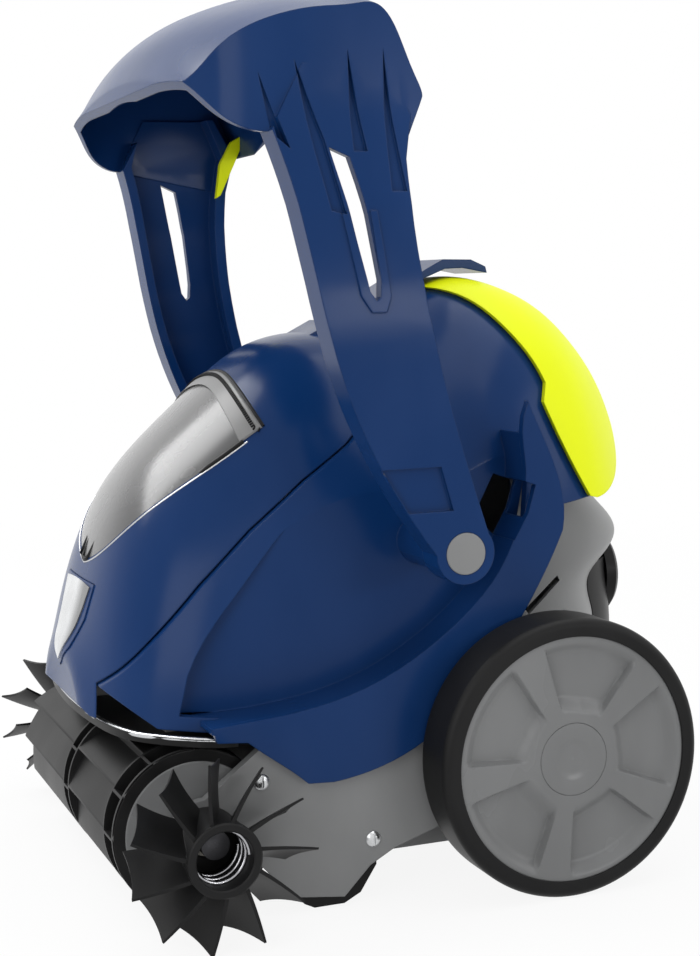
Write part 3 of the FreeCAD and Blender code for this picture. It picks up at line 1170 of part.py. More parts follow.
def pivot_cap(side):
    """Grey cap in the arm's eye."""
    face, y, z = size("arm_face"), size("pivot_y"), size("pivot_z")
    shape = round_bar(size("cap_disc"), face - size("cap_seat") + 0.2, face + 1.0, y, z)
    edges = [edge for edge in shape.Edges if abs(edge.BoundBox.XMin - face - 1.0) < 0.01
             and abs(edge.BoundBox.XMax - face - 1.0) < 0.01]
    shape = shape.makeFillet(0.8, edges)
    return feature(f"pivot_cap_{side}", shape if SIDES[side] > 0 else mirrored(shape))


def pivot_studs():
    """Steel studs fixed in the cover's bosses that carry the handle."""
    low, high = size("recess_face") - size("wall"), size("arm_face") - size("cap_seat") - 0.2
    stud = round_bar(size("pivot_radius"), low, high, size("pivot_y"), size("pivot_z"))
    return feature("pivot_studs", Part.makeCompound(both(stud)))


# ---------------------------------------------------------------- build, check, write

def build():
    """Make every sub-part, each at its rest place."""
    for side in SIDES:
        for piece in (tyre, wheel_disc, hub_cap, ring_gear, wheel_axle, drive_pinion, blade_wheel, brush_bearing,
                      side_panel, drive_motor, pivot_cap):
            piece(side)
    axle, shaft = size("axle_radius") + size("running_gap"), size("shaft_radius")
    train_gear("idler_rear", 1, axle)
    train_gear("idler_front", 2, axle)
    train_gear("brush_gear", 3, shaft)
    for piece in (idler_pins, brush_roller, brush_shaft, lower_hull, main_cover, filter_lid, lid_window, vent_frame,
                  nose_insert, hinge_bar, lid_hinge_pins, front_lip, skid_pads, side_screws, lid_latch, latch_pin,
                  tail_cover, rear_hull, rear_bumper, outlet_nozzle, pump_duct, impeller, pump_motor, motor_block,
                  block_base, control_board, cable_gland, filter_basket, filter_mesh, inlet_flap, flap_pin, handle,
                  grip_pads, pivot_studs):
        piece()


def check(items):
    """Stop if any object failed to recompute or any sub-part is empty or invalid."""
    for item in doc.Objects:
        if {"Invalid", "Error"} & set(item.State):
            raise RuntimeError(f"{item.Label} did not recompute: {item.State}")
    for item in items:
        if item.Shape.isNull() or not item.Shape.isValid() or not item.Shape.Solids:
            raise RuntimeError(f"{item.Label} has no valid solid")


build()
doc.recompute()
check(nodes)
os.makedirs("parts", exist_ok=True)
for item in nodes:
    item.Shape.exportStep(f"parts/{item.Label}.step")
print(len(nodes), "sub-parts written")
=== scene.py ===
"""Dresses the pool cleaner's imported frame: finishes, wheels, roller, hood trim, light and camera.

Metres throughout.  +Z is up, the roller faces -Y and +X is the cleaner's left side.
"""
import json
import logging
import math
from dataclasses import dataclass
from enum import Enum
from typing import Any, Iterable, Sequence

import bmesh
import bpy
from mathutils import Matrix, Vector
from mathutils.bvhtree import BVHTree

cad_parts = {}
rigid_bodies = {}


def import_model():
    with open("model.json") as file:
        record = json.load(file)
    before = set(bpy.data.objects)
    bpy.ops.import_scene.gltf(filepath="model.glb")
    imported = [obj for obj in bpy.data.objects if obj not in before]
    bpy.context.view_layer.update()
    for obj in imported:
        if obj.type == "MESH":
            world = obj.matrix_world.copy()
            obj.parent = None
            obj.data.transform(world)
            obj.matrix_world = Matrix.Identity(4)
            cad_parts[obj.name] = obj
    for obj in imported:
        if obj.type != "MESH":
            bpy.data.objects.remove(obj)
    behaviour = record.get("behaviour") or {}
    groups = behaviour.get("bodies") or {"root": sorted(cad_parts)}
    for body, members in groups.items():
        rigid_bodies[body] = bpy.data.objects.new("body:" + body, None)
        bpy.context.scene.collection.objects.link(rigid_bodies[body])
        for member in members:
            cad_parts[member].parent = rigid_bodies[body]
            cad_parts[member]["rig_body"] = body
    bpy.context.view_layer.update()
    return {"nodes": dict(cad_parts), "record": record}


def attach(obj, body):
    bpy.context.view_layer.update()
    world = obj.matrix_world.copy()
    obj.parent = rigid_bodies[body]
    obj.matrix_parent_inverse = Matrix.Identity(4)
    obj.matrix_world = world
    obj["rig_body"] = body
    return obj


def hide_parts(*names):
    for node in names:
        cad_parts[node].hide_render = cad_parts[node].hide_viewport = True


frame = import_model()
LOG = logging.getLogger("pool_cleaner")
MM = 0.001
AXLE_Y = 0.0688
Point = tuple[float, float, float]
Colour = tuple[float, float, float]


class Side(Enum):
    """The two sides of the machine, by the sign of X."""

    LEFT = 1
    RIGHT = -1

    @property
    def word(self) -> str:
        """The side's name as node names use it."""
        return self.name.lower()


# ------------------------------------------------------------------ shader helpers

class Wire:
    """A shader socket that arithmetic can be written on."""

    def __init__(self, graph: "Graph", socket: bpy.types.NodeSocket) -> None:
        """Keep the graph and the output socket."""
        self.graph = graph
        self.socket = socket

    def math(self, operation: str, *others: Any) -> "Wire":
        """Add a Math node on this value.

        Args:
            operation: the Math node's operation.
            others: further wires or numbers.

        Returns:
            The result as a wire.
        """
        return self.graph.node("ShaderNodeMath", dict(enumerate((self, *others))), operation=operation)

    def __add__(self, other: Any) -> "Wire":
        """Sum."""
        return self.math("ADD", other)

    def __sub__(self, other: Any) -> "Wire":
        """Difference."""
        return self.math("SUBTRACT", other)

    def __rsub__(self, other: float) -> "Wire":
        """Difference with the number first."""
        return self.graph.node("ShaderNodeMath", {0: other, 1: self}, operation="SUBTRACT")

    def __mul__(self, other: Any) -> "Wire":
        """Product."""
        return self.math("MULTIPLY", other)

    def band(self, low: float, high: float, start: float = 0.0, end: float = 1.0) -> "Wire":
        """Map low..high smoothly to start..end, clamped."""
        values = {0: self, 1: low, 2: high, 3: start, 4: end}
        return self.graph.node("ShaderNodeMapRange", values, interpolation_type="SMOOTHSTEP")


class Graph:
    """A material's node tree, built through one node method."""

    def __init__(self, name: str) -> None:
        """Start an empty node material.

        Args:
            name: the material's name.
        """
        self.material = bpy.data.materials.new(name)
        self.material.use_nodes = True
        self.tree = self.material.node_tree
        self.tree.nodes.clear()

    def node(self, kind: str, values: dict[Any, Any] | None = None, output: Any = 0, **settings: Any) -> Wire:
        """Add any node.

        Args:
            kind: the node's type.
            values: socket name or index to a wire or a plain value.
            output: name or index of the output that is returned.
            settings: the node's own properties, set first.

        Returns:
            The chosen output.
        """
        made = self.tree.nodes.new(kind)
        for key, value in settings.items():
            setattr(made, key, value)
        for key, value in (values or {}).items():
            socket = made.inputs[key]
            if isinstance(value, Wire):
                self.tree.links.new(value.socket, socket)
            elif socket.type == "RGBA" and len(value) == 3:
                socket.default_value = (*value, 1.0)
            else:
                socket.default_value = value
        return Wire(self, made.outputs[output])

    def place(self) -> Wire:
        """Object coordinates."""
        return self.node("ShaderNodeTexCoord", output="Object")

    def along(self, axis: str) -> Wire:
        """One object coordinate in metres."""
        return self.node("ShaderNodeSeparateXYZ", {0: self.place()}, output=axis)

    def noise(self, scale: float, detail: float = 3.0, stretch: Point = (1.0, 1.0, 1.0)) -> Wire:
        """Noise factor over the object.

        Args:
            scale: features per metre.
            detail: octaves.
            stretch: scale along each axis.

        Returns:
            The factor from 0 to 1.
        """
        spot = self.node("ShaderNodeMapping", {"Vector": self.place(), "Scale": stretch})
        return self.node("ShaderNodeTexNoise", {"Vector": spot, "Scale": scale, "Detail": detail})

    def blend(self, factor: Wire, low: Any, high: Any) -> Wire:
        """Colour mix by a factor."""
        return self.node("ShaderNodeMix", {0: factor, 6: low, 7: high}, output=2, data_type="RGBA")

    def bump(self, height: Wire, strength: float, distance: float, normal: Wire | None = None) -> Wire:
        """Bump from a height.

        Args:
            height: the height as a wire.
            strength: how strongly it shows.
            distance: the height's reach in metres.
            normal: a normal it is laid over.

        Returns:
            The bumped normal.
        """
        values: dict[Any, Any] = {"Height": height, "Strength": strength, "Distance": distance}
        if normal:
            values["Normal"] = normal
        return self.node("ShaderNodeBump", values)

    def edge(self, radius: float) -> tuple[Wire, Wire]:
        """Softened normal at edges, and how much the surface bends there.

        Args:
            radius: edge radius in metres.

        Returns:
            The normal, and a mask that is 1 on edges, where the plastics lay scuffs and a painted highlight.
        """
        soft = self.node("ShaderNodeBevel", {"Radius": radius}, samples=4)
        sharp = self.node("ShaderNodeNewGeometry", output="Normal")
        same = self.node("ShaderNodeVectorMath", {0: soft, 1: sharp}, output="Value", operation="DOT_PRODUCT")
        return soft, (1.0 - same).band(0.02, 0.25)

    def finish(self, shader: Wire) -> bpy.types.Material:
        """Join the shader to the output.

        Args:
            shader: the finished shader.

        Returns:
            The material.
        """
        out = self.tree.nodes.new("ShaderNodeOutputMaterial")
        self.tree.links.new(shader.socket, out.inputs["Surface"])
        return self.material


# ------------------------------------------------------------------ finishes

def toned(colour: Colour, share: float, lift: float = 0.0) -> Colour:
    """A colour times a share plus a lift, at most 1."""
    return tuple(min(1.0, channel * share + lift) for channel in colour)


@dataclass(frozen=True)
class Moulded:
    """Injection-moulded plastic or rubber with grain, faint flow marks and speckled lighter edges: partly
    scuffs, partly a painted highlight.
    """

    name: str
    colour: Colour
    roughness: float = 0.35
    grain: float = 900.0
    grain_depth: float = 0.04
    edge_radius: float = 0.0006
    # How strongly edges are lightened, as scuffs and as a painted highlight.
    wear: float = 0.25
    specular: float = 0.25
    tone: float = 0.08

    def build(self) -> bpy.types.Material:
        """Make the material.

        Returns:
            The material.
        """
        graph = Graph(self.name)
        normal, edge_mask = graph.edge(self.edge_radius)
        flow = graph.noise(14.0, 4.0, (1.0, 1.0, 0.45))
        speck = graph.noise(self.grain, 2.0)
        dark, light = toned(self.colour, 1 - self.tone), toned(self.colour, 1 + self.tone, 0.004)
        base = graph.blend(flow.band(0.3, 0.7), dark, light)
        # Speckled lighter edges: partly scuffs, partly a painted highlight along edges and crests.
        edge_wear_and_highlight = edge_mask * (speck.band(0.35, 0.65) * self.wear)
        base = graph.blend(edge_wear_and_highlight, base, toned(self.colour, 1.25, 0.035))
        rough = flow.band(0.25, 0.75, self.roughness * 0.85, min(1.0, self.roughness * 1.15)) + edge_mask * 0.08
        relief = graph.bump(speck, self.grain_depth, 0.0003, normal)
        shader = graph.node("ShaderNodeBsdfPrincipled", {
            "Base Color": base, "Roughness": rough, "Normal": relief, "Specular IOR Level": self.specular})
        return graph.finish(shader)


@dataclass(frozen=True)
class Metal:
    """Turned or plated metal with fine circumferential marks, and if asked a painted reflection that darkens
    it towards one side.
    """

    name: str
    colour: Colour
    roughness: float = 0.25
    marks: float = 2500.0
    dark_side: tuple[float, float] | None = None

    def build(self) -> bpy.types.Material:
        """Make the material.

        Returns:
            The material.
        """
        graph = Graph(self.name)
        normal, edge_mask = graph.edge(0.0003)
        lines = graph.noise(self.marks, 2.0, (1.0, 0.05, 0.05))
        cloud = graph.noise(60.0, 3.0)
        base = graph.blend(cloud.band(0.3, 0.7), toned(self.colour, 0.86), self.colour)
        # Painted reflection: the colour falls to 30% across the given span of X.
        if self.dark_side:
            base = graph.blend(graph.along("X").band(*self.dark_side), base, toned(self.colour, 0.3))
        rough = lines.band(0.3, 0.7, self.roughness * 0.7, self.roughness * 1.3) + edge_mask * 0.05
        relief = graph.bump(lines, 0.05, 0.0001, normal)
        shader = graph.node("ShaderNodeBsdfPrincipled",
                            {"Base Color": base, "Roughness": rough, "Metallic": 1.0, "Normal": relief})
        return graph.finish(shader)


@dataclass(frozen=True)
class Smoke:
    """Smoke-tinted window plastic with a painted highlight: paler towards its upper right edge and darker
    towards the lower left.
    """

    name: str
    dark: Colour
    pale: Colour
    clear: float = 0.12
    # X span over which the painted highlight fades from pale to dark.
    span: tuple[float, float] = (-0.066, 0.052)
    coat: float = 0.3
    coat_roughness: float = 0.15

    def build(self) -> bpy.types.Material:
        """Make the material.

        Returns:
            The material.
        """
        graph = Graph(self.name)
        haze = graph.noise(22.0, 4.0)
        # Painted highlight and shade: pale at low X, dark at high X, with a little haze noise.
        shade = graph.along("X").band(*self.span) * 0.85 + haze * 0.15
        alpha = haze.band(0.3, 0.7, 0.98 - self.clear, 1.0 - self.clear / 2)
        rough = haze.band(0.3, 0.7, 0.22, 0.30)
        relief = graph.bump(graph.noise(9.0, 2.0), 0.08, 0.002)
        shader = graph.node("ShaderNodeBsdfPrincipled", {
            "Base Color": graph.blend(shade, self.pale, self.dark), "Roughness": rough, "Alpha": alpha,
            "Normal": relief, "Coat Weight": self.coat, "Coat Roughness": self.coat_roughness})
        return graph.finish(shader)


@dataclass(frozen=True)
class Board:
    """Lacquered circuit board with faint copper tracks."""

    name: str
    colour: Colour

    def build(self) -> bpy.types.Material:
        """Make the material.

        Returns:
            The material.
        """
        graph = Graph(self.name)
        cells = graph.node("ShaderNodeTexVoronoi", {"Vector": graph.place(), "Scale": 240.0},
                           distance="MANHATTAN", feature="DISTANCE_TO_EDGE")
        track = cells.band(0.02, 0.05)
        base = graph.blend(track, (0.10, 0.34, 0.16), self.colour)
        shader = graph.node("ShaderNodeBsdfPrincipled", {
            "Base Color": base, "Roughness": track.band(0.0, 1.0, 0.25, 0.4),
            "Normal": graph.bump(track, 0.2, 0.0002)})
        return graph.finish(shader)


@dataclass(frozen=True)
class Cloth:
    """Fine woven filter cloth."""

    name: str
    colour: Colour
    pitch: float = 1400.0

    def build(self) -> bpy.types.Material:
        """Make the material.

        Returns:
            The material.
        """
        graph = Graph(self.name)
        waves = [graph.node("ShaderNodeTexWave", {"Vector": graph.place(), "Scale": self.pitch / 20},
                            output=1, bands_direction=axis) for axis in ("X", "Y", "Z")]
        weave = (waves[0] + waves[1] + waves[2]) * 0.34
        base = graph.blend(weave.band(0.3, 0.7), toned(self.colour, 0.7), self.colour)
        shader = graph.node("ShaderNodeBsdfPrincipled", {
            "Base Color": base, "Roughness": weave.band(0.2, 0.8, 0.7, 0.9),
            "Normal": graph.bump(weave, 0.4, 0.0004), "Alpha": weave.band(0.15, 0.5, 0.55, 1.0)})
        return graph.finish(shader)


FINISHES = {finish.name: finish for finish in (
    Moulded("tyre_rubber", (0.0065, 0.0065, 0.0068), roughness=0.46, grain=700.0, grain_depth=0.10,
            edge_radius=0.0012, wear=0.25, specular=0.15),
    Moulded("soft_rubber", (0.0055, 0.0055, 0.0058), roughness=0.42, grain=500.0, grain_depth=0.08,
            edge_radius=0.0004, wear=0.4, specular=0.15),
    Moulded("black_plastic", (0.0065, 0.0065, 0.0068), roughness=0.38, grain=1100.0, grain_depth=0.05,
            edge_radius=0.0005, wear=0.3, specular=0.15),
    Moulded("grey_plastic", (0.220, 0.223, 0.225), roughness=0.40, grain=1300.0, grain_depth=0.05,
            edge_radius=0.0008),
    Moulded("rim_grey", (0.165, 0.168, 0.17), roughness=0.26, grain=1300.0, grain_depth=0.03,
            edge_radius=0.0010, wear=0.5),
    Moulded("blue_plastic", (0.0035, 0.0290, 0.118), roughness=0.22, grain=1500.0, grain_depth=0.012,
            edge_radius=0.0012, wear=0.25, specular=0.13, tone=0.05),
    Moulded("lime_plastic", (0.80, 0.89, 0.0015), roughness=0.42, grain=1300.0, grain_depth=0.02,
            edge_radius=0.0008, wear=0.1, specular=0.15, tone=0.03),
    Moulded("gear_plastic", (0.60, 0.58, 0.52), roughness=0.4, grain=900.0, grain_depth=0.05),
    Moulded("motor_can", (0.09, 0.095, 0.10), roughness=0.3, grain=600.0, grain_depth=0.05, specular=0.5),
    Moulded("pale_grey", (0.23, 0.23, 0.23), roughness=0.32, grain=1300.0, grain_depth=0.03,
            edge_radius=0.0006),
    # Window: the dark and pale ends of its painted highlight.
    Smoke("smoke_plastic", (0.045, 0.045, 0.047), (0.42, 0.42, 0.42)),
    Metal("bright_trim", (0.62, 0.63, 0.65), roughness=0.24),
    # Nose shield: a painted reflection, bright at low X with painted shade towards high X.
    Metal("nose_metal", (0.86, 0.87, 0.88), roughness=0.30, marks=900.0, dark_side=(0.002, 0.022)),
    # Shaft steel darkened to near black: painted shade inside the blade-wheel tubes.
    Metal("shaft_metal", (0.06, 0.06, 0.065), roughness=0.36),
    Metal("thread_metal", (0.42, 0.42, 0.44), roughness=0.16),
    Metal("steel", (0.62, 0.63, 0.64), roughness=0.28),
    Board("board", (0.02, 0.12, 0.05)),
    Cloth("mesh_cloth", (0.62, 0.64, 0.66)),
)}
MATERIALS: dict[str, bpy.types.Material] = {}


def finish_of(name: str) -> bpy.types.Material:
    """The material of a finish, made once.

    Args:
        name: the finish's name.

    Returns:
        The material.
    """
    if name not in MATERIALS:
        MATERIALS[name] = FINISHES[name].build()
    return MATERIALS[name]


# ------------------------------------------------------------------ mesh helpers

def add_mesh(name: str, vertices: Sequence[Point], faces: Iterable[Sequence[int]], finish: str,
             smooth: float) -> bpy.types.Object:
    """Link a new mesh object at the origin.

    Args:
        name: the piece's name.
        vertices: points in metres.
        faces: corner indices.
        finish: name of its finish.
        smooth: angle in degrees under which edges are shaded smooth.

    Returns:
        The object.
    """
    mesh = bpy.data.meshes.new(name)
    mesh.from_pydata([tuple(point) for point in vertices], [], [tuple(face) for face in faces])
    made = bpy.data.objects.new(name, mesh)
    bpy.context.scene.collection.objects.link(made)
    tidy(made, smooth)
    made.data.materials.append(finish_of(finish))
    return made


def tidy(made: bpy.types.Object, smooth: float, recalculate: bool = True) -> None:
    """Merge doubles, point faces outwards and shade by angle.

    Args:
        made: the object.
        smooth: angle in degrees under which edges are shaded smooth.
        recalculate: turn the faces outwards.
    """
    grid = bmesh.new()
    grid.from_mesh(made.data)
    bmesh.ops.remove_doubles(grid, verts=grid.verts, dist=2e-6)
    if recalculate:
        bmesh.ops.recalc_face_normals(grid, faces=grid.faces)
    for face in grid.faces:
        face.smooth = True
    limit = math.radians(smooth)
    for edge in grid.edges:
        edge.smooth = len(edge.link_faces) == 2 and edge.calc_face_angle(math.pi) < limit
    grid.to_mesh(made.data)
    grid.free()


def baked(made: bpy.types.Object) -> bpy.types.Object:
    """Turn an object with modifiers into a plain mesh at the origin.

    Args:
        made: the object, which is removed.

    Returns:
        The plain object, of the same name.
    """
    bpy.context.view_layer.update()
    graph = bpy.context.evaluated_depsgraph_get()
    mesh = bpy.data.meshes.new_from_object(made.evaluated_get(graph))
    name = made.name
    bpy.data.objects.remove(made)
    plain = bpy.data.objects.new(name, mesh)
    bpy.context.scene.collection.objects.link(plain)
    return plain


def settle(made: bpy.types.Object, body: str, slot: str, *nodes: str) -> bpy.types.Object:
    """Ride a piece on its body and hide the nodes it stands for.

    Args:
        made: the piece.
        body: the body it moves with.
        slot: the record's material slot; not used.
        nodes: the nodes it replaces.

    Returns:
        The piece.
    """
    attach(made, body)
    if nodes:
        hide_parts(*nodes)
    LOG.info("piece %s on %s", made.name, body)
    return made


def mirrored(points: Iterable[Point], side: Side) -> list[Point]:
    """Points drawn for the left side, put on either side."""
    return [(x * side.value, y, z) for x, y, z in points]


def ease(low: float, high: float, value: float) -> float:
    """Smooth step from 0 to 1 between low and high."""
    share = min(1.0, max(0.0, (value - low) / (high - low)))
    return share * share * (3 - 2 * share)


def ring_points(profile: Iterable[tuple[float, float]], columns: int, y: float = 0.0,
                z: float = 0.0) -> list[Point]:
    """Turn a profile about a line along X.

    Args:
        profile: x and radius of each row.
        columns: points round.
        y: the line's place.
        z: the line's height.

    Returns:
        The points, row by row.
    """
    angles = [math.tau * column / columns for column in range(columns)]
    return [(x, y + radius * math.cos(angle), z + radius * math.sin(angle))
            for x, radius in profile for angle in angles]


def lathe_faces(rows: int, columns: int) -> list[tuple[int, int, int, int]]:
    """Quads of a grid whose rows and columns both wrap round.

    Args:
        rows: number of rows.
        columns: points in a row.

    Returns:
        Corner indices of each quad.
    """
    faces = []
    for row in range(rows):
        here, after = row * columns, (row + 1) % rows * columns
        for column in range(columns):
            beside = (column + 1) % columns
            faces.append((here + column, here + beside, after + beside, after + column))
    return faces


def sheet_faces(rows: int, columns: int) -> list[tuple[int, ...]]:
    """Faces of a closed thin sheet, whose back points follow its front points.

    Args:
        rows: quads along.
        columns: quads across.

    Returns:
        Corner indices of both skins and of the rim between them.
    """
    wide = columns + 1
    back = wide * (rows + 1)
    faces: list[tuple[int, ...]] = []
    for row in range(rows):
        for column in range(columns):
            first = row * wide + column
            quad = (first, first + 1, first + wide + 1, first + wide)
            faces += [quad, tuple(index + back for index in reversed(quad))]
    rim = list(range(wide)) + [row * wide + columns for row in range(1, rows + 1)]
    rim += [rows * wide + column for column in range(columns - 1, -1, -1)]
    rim += [row * wide for row in range(rows - 1, 0, -1)]
    return faces + [(other, one, one + back, other + back) for one, other in zip(rim, rim[1:] + rim[:1])]


class CopyTree:
    """A Geometry Nodes tree with named inputs that ends in real, dressed copies of one mesh."""

    def __init__(self, name: str, inputs: Sequence[tuple[str, str]]) -> None:
        """Start the tree.

        Args:
            name: the tree's name.
            inputs: label and socket type of each input between the geometry and the finish.
        """
        self.tree = bpy.data.node_groups.new(name, "GeometryNodeTree")
        face = self.tree.interface
        face.new_socket("Geometry", in_out="INPUT", socket_type="NodeSocketGeometry")
        self.keys = {label: face.new_socket(label, in_out="INPUT", socket_type=kind).identifier
                     for label, kind in (*inputs, ("Finish", "NodeSocketMaterial"))}
        face.new_socket("Geometry", in_out="OUTPUT", socket_type="NodeSocketGeometry")
        self.enter = self.add("NodeGroupInput").outputs

    def add(self, kind: str, values: dict[Any, Any] | None = None, **settings: Any) -> bpy.types.Node:
        """Add a node.

        Args:
            kind: the node's type.
            values: input name or index to an output socket or a plain value.
            settings: the node's own properties, set first.

        Returns:
            The node.
        """
        made = self.tree.nodes.new(kind)
        for key, value in settings.items():
            setattr(made, key, value)
        for key, value in (values or {}).items():
            if isinstance(value, bpy.types.NodeSocket):
                self.tree.links.new(value, made.inputs[key])
            else:
                made.inputs[key].default_value = value
        return made

    def close(self, points: bpy.types.NodeSocket, copy: bpy.types.NodeSocket,
              turn: bpy.types.NodeSocket) -> None:
        """Stand a copy on each point, make the copies real and dress them.

        Args:
            points: where the copies stand.
            copy: the mesh that is copied.
            turn: rotation of each copy.
        """
        copies = self.add("GeometryNodeInstanceOnPoints",
                          {"Points": points, "Instance": copy, "Rotation": turn})
        real = self.add("GeometryNodeRealizeInstances", {0: copies.outputs[0]})
        dress = self.add("GeometryNodeSetMaterial",
                         {"Geometry": real.outputs[0], "Material": self.enter["Finish"]})
        self.add("NodeGroupOutput", {0: dress.outputs[0]})

    def bake(self, made: bpy.types.Object, values: dict[str, Any]) -> bpy.types.Object:
        """Run the tree on an object and bake the result.

        Args:
            made: the object, which is replaced.
            values: value of each named input.

        Returns:
            The plain object.
        """
        rig = made.modifiers.new(self.tree.name, "NODES")
        rig.node_group = self.tree
        for label, value in values.items():
            rig[self.keys[label]] = value
        return baked(made)


class Repeater(CopyTree):
    """Repeats one mesh round the X axis."""

    def __init__(self, name: str) -> None:
        """Build the tree.

        Args:
            name: the tree's name.
        """
        super().__init__(name, (("Count", "NodeSocketInt"), ("Turn", "NodeSocketFloat"),
                                ("Centre", "NodeSocketVector")))
        points = self.add("GeometryNodePoints",
                          {"Count": self.enter["Count"], "Position": self.enter["Centre"]})
        index = self.add("GeometryNodeInputIndex")
        step = self.add("ShaderNodeMath", {0: math.tau, 1: self.enter["Count"]}, operation="DIVIDE")
        angle = self.add("ShaderNodeMath", {0: index.outputs[0], 1: step.outputs[0], 2: self.enter["Turn"]},
                         operation="MULTIPLY_ADD")
        spin = self.add("ShaderNodeCombineXYZ", {"X": angle.outputs[0]})
        self.close(points.outputs[0], self.enter["Geometry"], spin.outputs[0])

    def apply(self, made: bpy.types.Object, count: int, turn: float, centre: Point,
              finish: str) -> bpy.types.Object:
        """Repeat an object's mesh round X and bake the result.

        Args:
            made: one copy, drawn about the X axis through the origin.
            count: number of copies.
            turn: turn of the first copy in radians.
            centre: where the axis passes.
            finish: name of the finish.

        Returns:
            The plain repeated object.
        """
        return self.bake(made, {"Count": count, "Turn": turn, "Centre": centre, "Finish": finish_of(finish)})


class RibRow(CopyTree):
    """Stands one small block on every point of a mesh."""

    def __init__(self, name: str) -> None:
        """Build the tree.

        Args:
            name: the tree's name.
        """
        super().__init__(name, (("Size", "NodeSocketVector"),))
        block = self.add("GeometryNodeMeshCube", {"Size": self.enter["Size"]})
        turn = None
        for axis, label in (("X", "along"), ("Z", "outward")):
            read = self.add("GeometryNodeInputNamedAttribute", {"Name": label}, data_type="FLOAT_VECTOR")
            values = {"Vector": read.outputs["Attribute"]}
            if turn:
                values["Rotation"] = turn
            align = self.add("FunctionNodeAlignRotationToVector", values, axis=axis,
                             pivot_axis="X" if turn else "AUTO")
            turn = align.outputs[0]
        self.close(self.enter["Geometry"], block.outputs["Mesh"], turn)

    def apply(self, name: str, spots: Sequence[tuple[Vector, Vector, Vector]], size: Point,
              finish: str) -> bpy.types.Object:
        """Stand a block on each spot.

        Args:
            name: the piece's name.
            spots: place, direction of the block's length and outward direction.
            size: the block's size in metres.
            finish: name of the finish.

        Returns:
            The plain object.
        """
        mesh = bpy.data.meshes.new(name)
        mesh.from_pydata([tuple(place) for place, _, _ in spots], [], [])
        for index, label in ((1, "along"), (2, "outward")):
            values = mesh.attributes.new(label, "FLOAT_VECTOR", "POINT")
            for item, spot in zip(values.data, spots):
                item.vector = spot[index]
        made = bpy.data.objects.new(name, mesh)
        bpy.context.scene.collection.objects.link(made)
        return self.bake(made, {"Size": size, "Finish": finish_of(finish)})


class Probe:
    """Finds a node's outer surface."""

    def __init__(self, *nodes: str) -> None:
        """Index the nodes' faces.

        Args:
            nodes: names of the nodes.
        """
        points, faces = [], []
        for name in nodes:
            mesh = frame["nodes"][name].data
            base = len(points)
            points += [vertex.co.copy() for vertex in mesh.vertices]
            faces += [tuple(base + corner for corner in face.vertices) for face in mesh.polygons]
        self.tree = BVHTree.FromPolygons(points, faces)

    def front(self, x: float, z: float) -> tuple[Vector, Vector]:
        """The surface met when looking along +Y.

        Args:
            x: place across, in metres.
            z: height in metres.

        Returns:
            The point and its outward normal.
        """
        spot, normal, _, _ = self.tree.ray_cast(Vector((x, -1.0, z)), Vector((0.0, 1.0, 0.0)))
        if spot is None:
            spot, normal, _, _ = self.tree.find_nearest(Vector((x, -0.1, z)))
        return spot, normal if normal.y < 0 else -normal


def arc_points(start: Sequence[float], through: Sequence[float], end: Sequence[float],
               count: int) -> list[Vector]:
    """Evenly spaced points on the circle arc through three flat points.

    Args:
        start: first point.
        through: a point between.
        end: last point.
        count: number of points.

    Returns:
        The points, both ends included.
    """
    a, b, c = (Vector(point) for point in (start, through, end))
    turn = 2 * (a.x * (b.y - c.y) + b.x * (c.y - a.y) + c.x * (a.y - b.y))
    sums = [point.length_squared for point in (a, b, c)]
    centre = Vector(((sums[0] * (b.y - c.y) + sums[1] * (c.y - a.y) + sums[2] * (a.y - b.y)) / turn,
                     (sums[0] * (c.x - b.x) + sums[1] * (a.x - c.x) + sums[2] * (b.x - a.x)) / turn))
    angles = [math.atan2(point.y - centre.y, point.x - centre.x) for point in (a, b, c)]
    sweep = (angles[2] - angles[0]) % math.tau
    if (angles[1] - angles[0]) % math.tau > sweep:
        sweep -= math.tau
    radius = (a - centre).length
    steps = [angles[0] + sweep * step / (count - 1) for step in range(count)]
    return [centre + radius * Vector((math.cos(angle), math.sin(angle))) for angle in steps]


def smooth_path(points: Sequence[Point], count: int) -> list[Vector]:
    """Catmull-Rom curve through points.

    Args:
        points: the points it passes.
        count: steps between two points.

    Returns:
        The points of the curve.
    """
    spots = [Vector(point) for point in points]
    spots = [2 * spots[0] - spots[1]] + spots + [2 * spots[-1] - spots[-2]]
    path = []
    for index in range(1, len(spots) - 2):
        a, b, c, d = spots[index - 1:index + 3]
        for step in range(count):
            t = step / count
            path.append(0.5 * (2 * b + (c - a) * t + (2 * a - 5 * b + 4 * c - d) * t * t
                               + (3 * b - a - 3 * c + d) * t * t * t))
    return path + [spots[-2]]


def bar(name: str, path: Sequence[Vector], radius: float, finish: str, sides: int = 12) -> bpy.types.Object:
    """A round bar along a path.

    Args:
        name: the piece's name.
        path: centre line.
        radius: radius in metres.
        finish: name of the finish.
        sides: corners of the section.

    Returns:
        The object.
    """
    last = len(path) - 1
    points, faces = [], []
    side = Vector((0.0, 0.0, 1.0))
    for index, place in enumerate(path):
        along = (path[min(index + 1, last)] - path[max(index - 1, 0)]).normalized()
        side = (side - along * side.dot(along)).normalized()
        other = along.cross(side)
        for corner in range(sides):
            angle = math.tau * corner / sides
            points.append(place + radius * (math.cos(angle) * side + math.sin(angle) * other))
    for row in range(last):
        here, after = row * sides, (row + 1) * sides
        for corner in range(sides):
            beside = (corner + 1) % sides
            faces.append((here + corner, here + beside, after + beside, after + corner))
    faces += [tuple(range(sides)), tuple(range(last * sides, (last + 1) * sides))]
    return add_mesh(name, points, faces, finish, 50.0)


# ------------------------------------------------------------------ frame pieces

# The brush shaft's finish is darkened as painted shade inside the blade-wheel tubes.
NODE_FINISHES = {"vent_frame": "pale_grey", "nose_insert": "blue_plastic", "brush_shaft": "shaft_metal"}


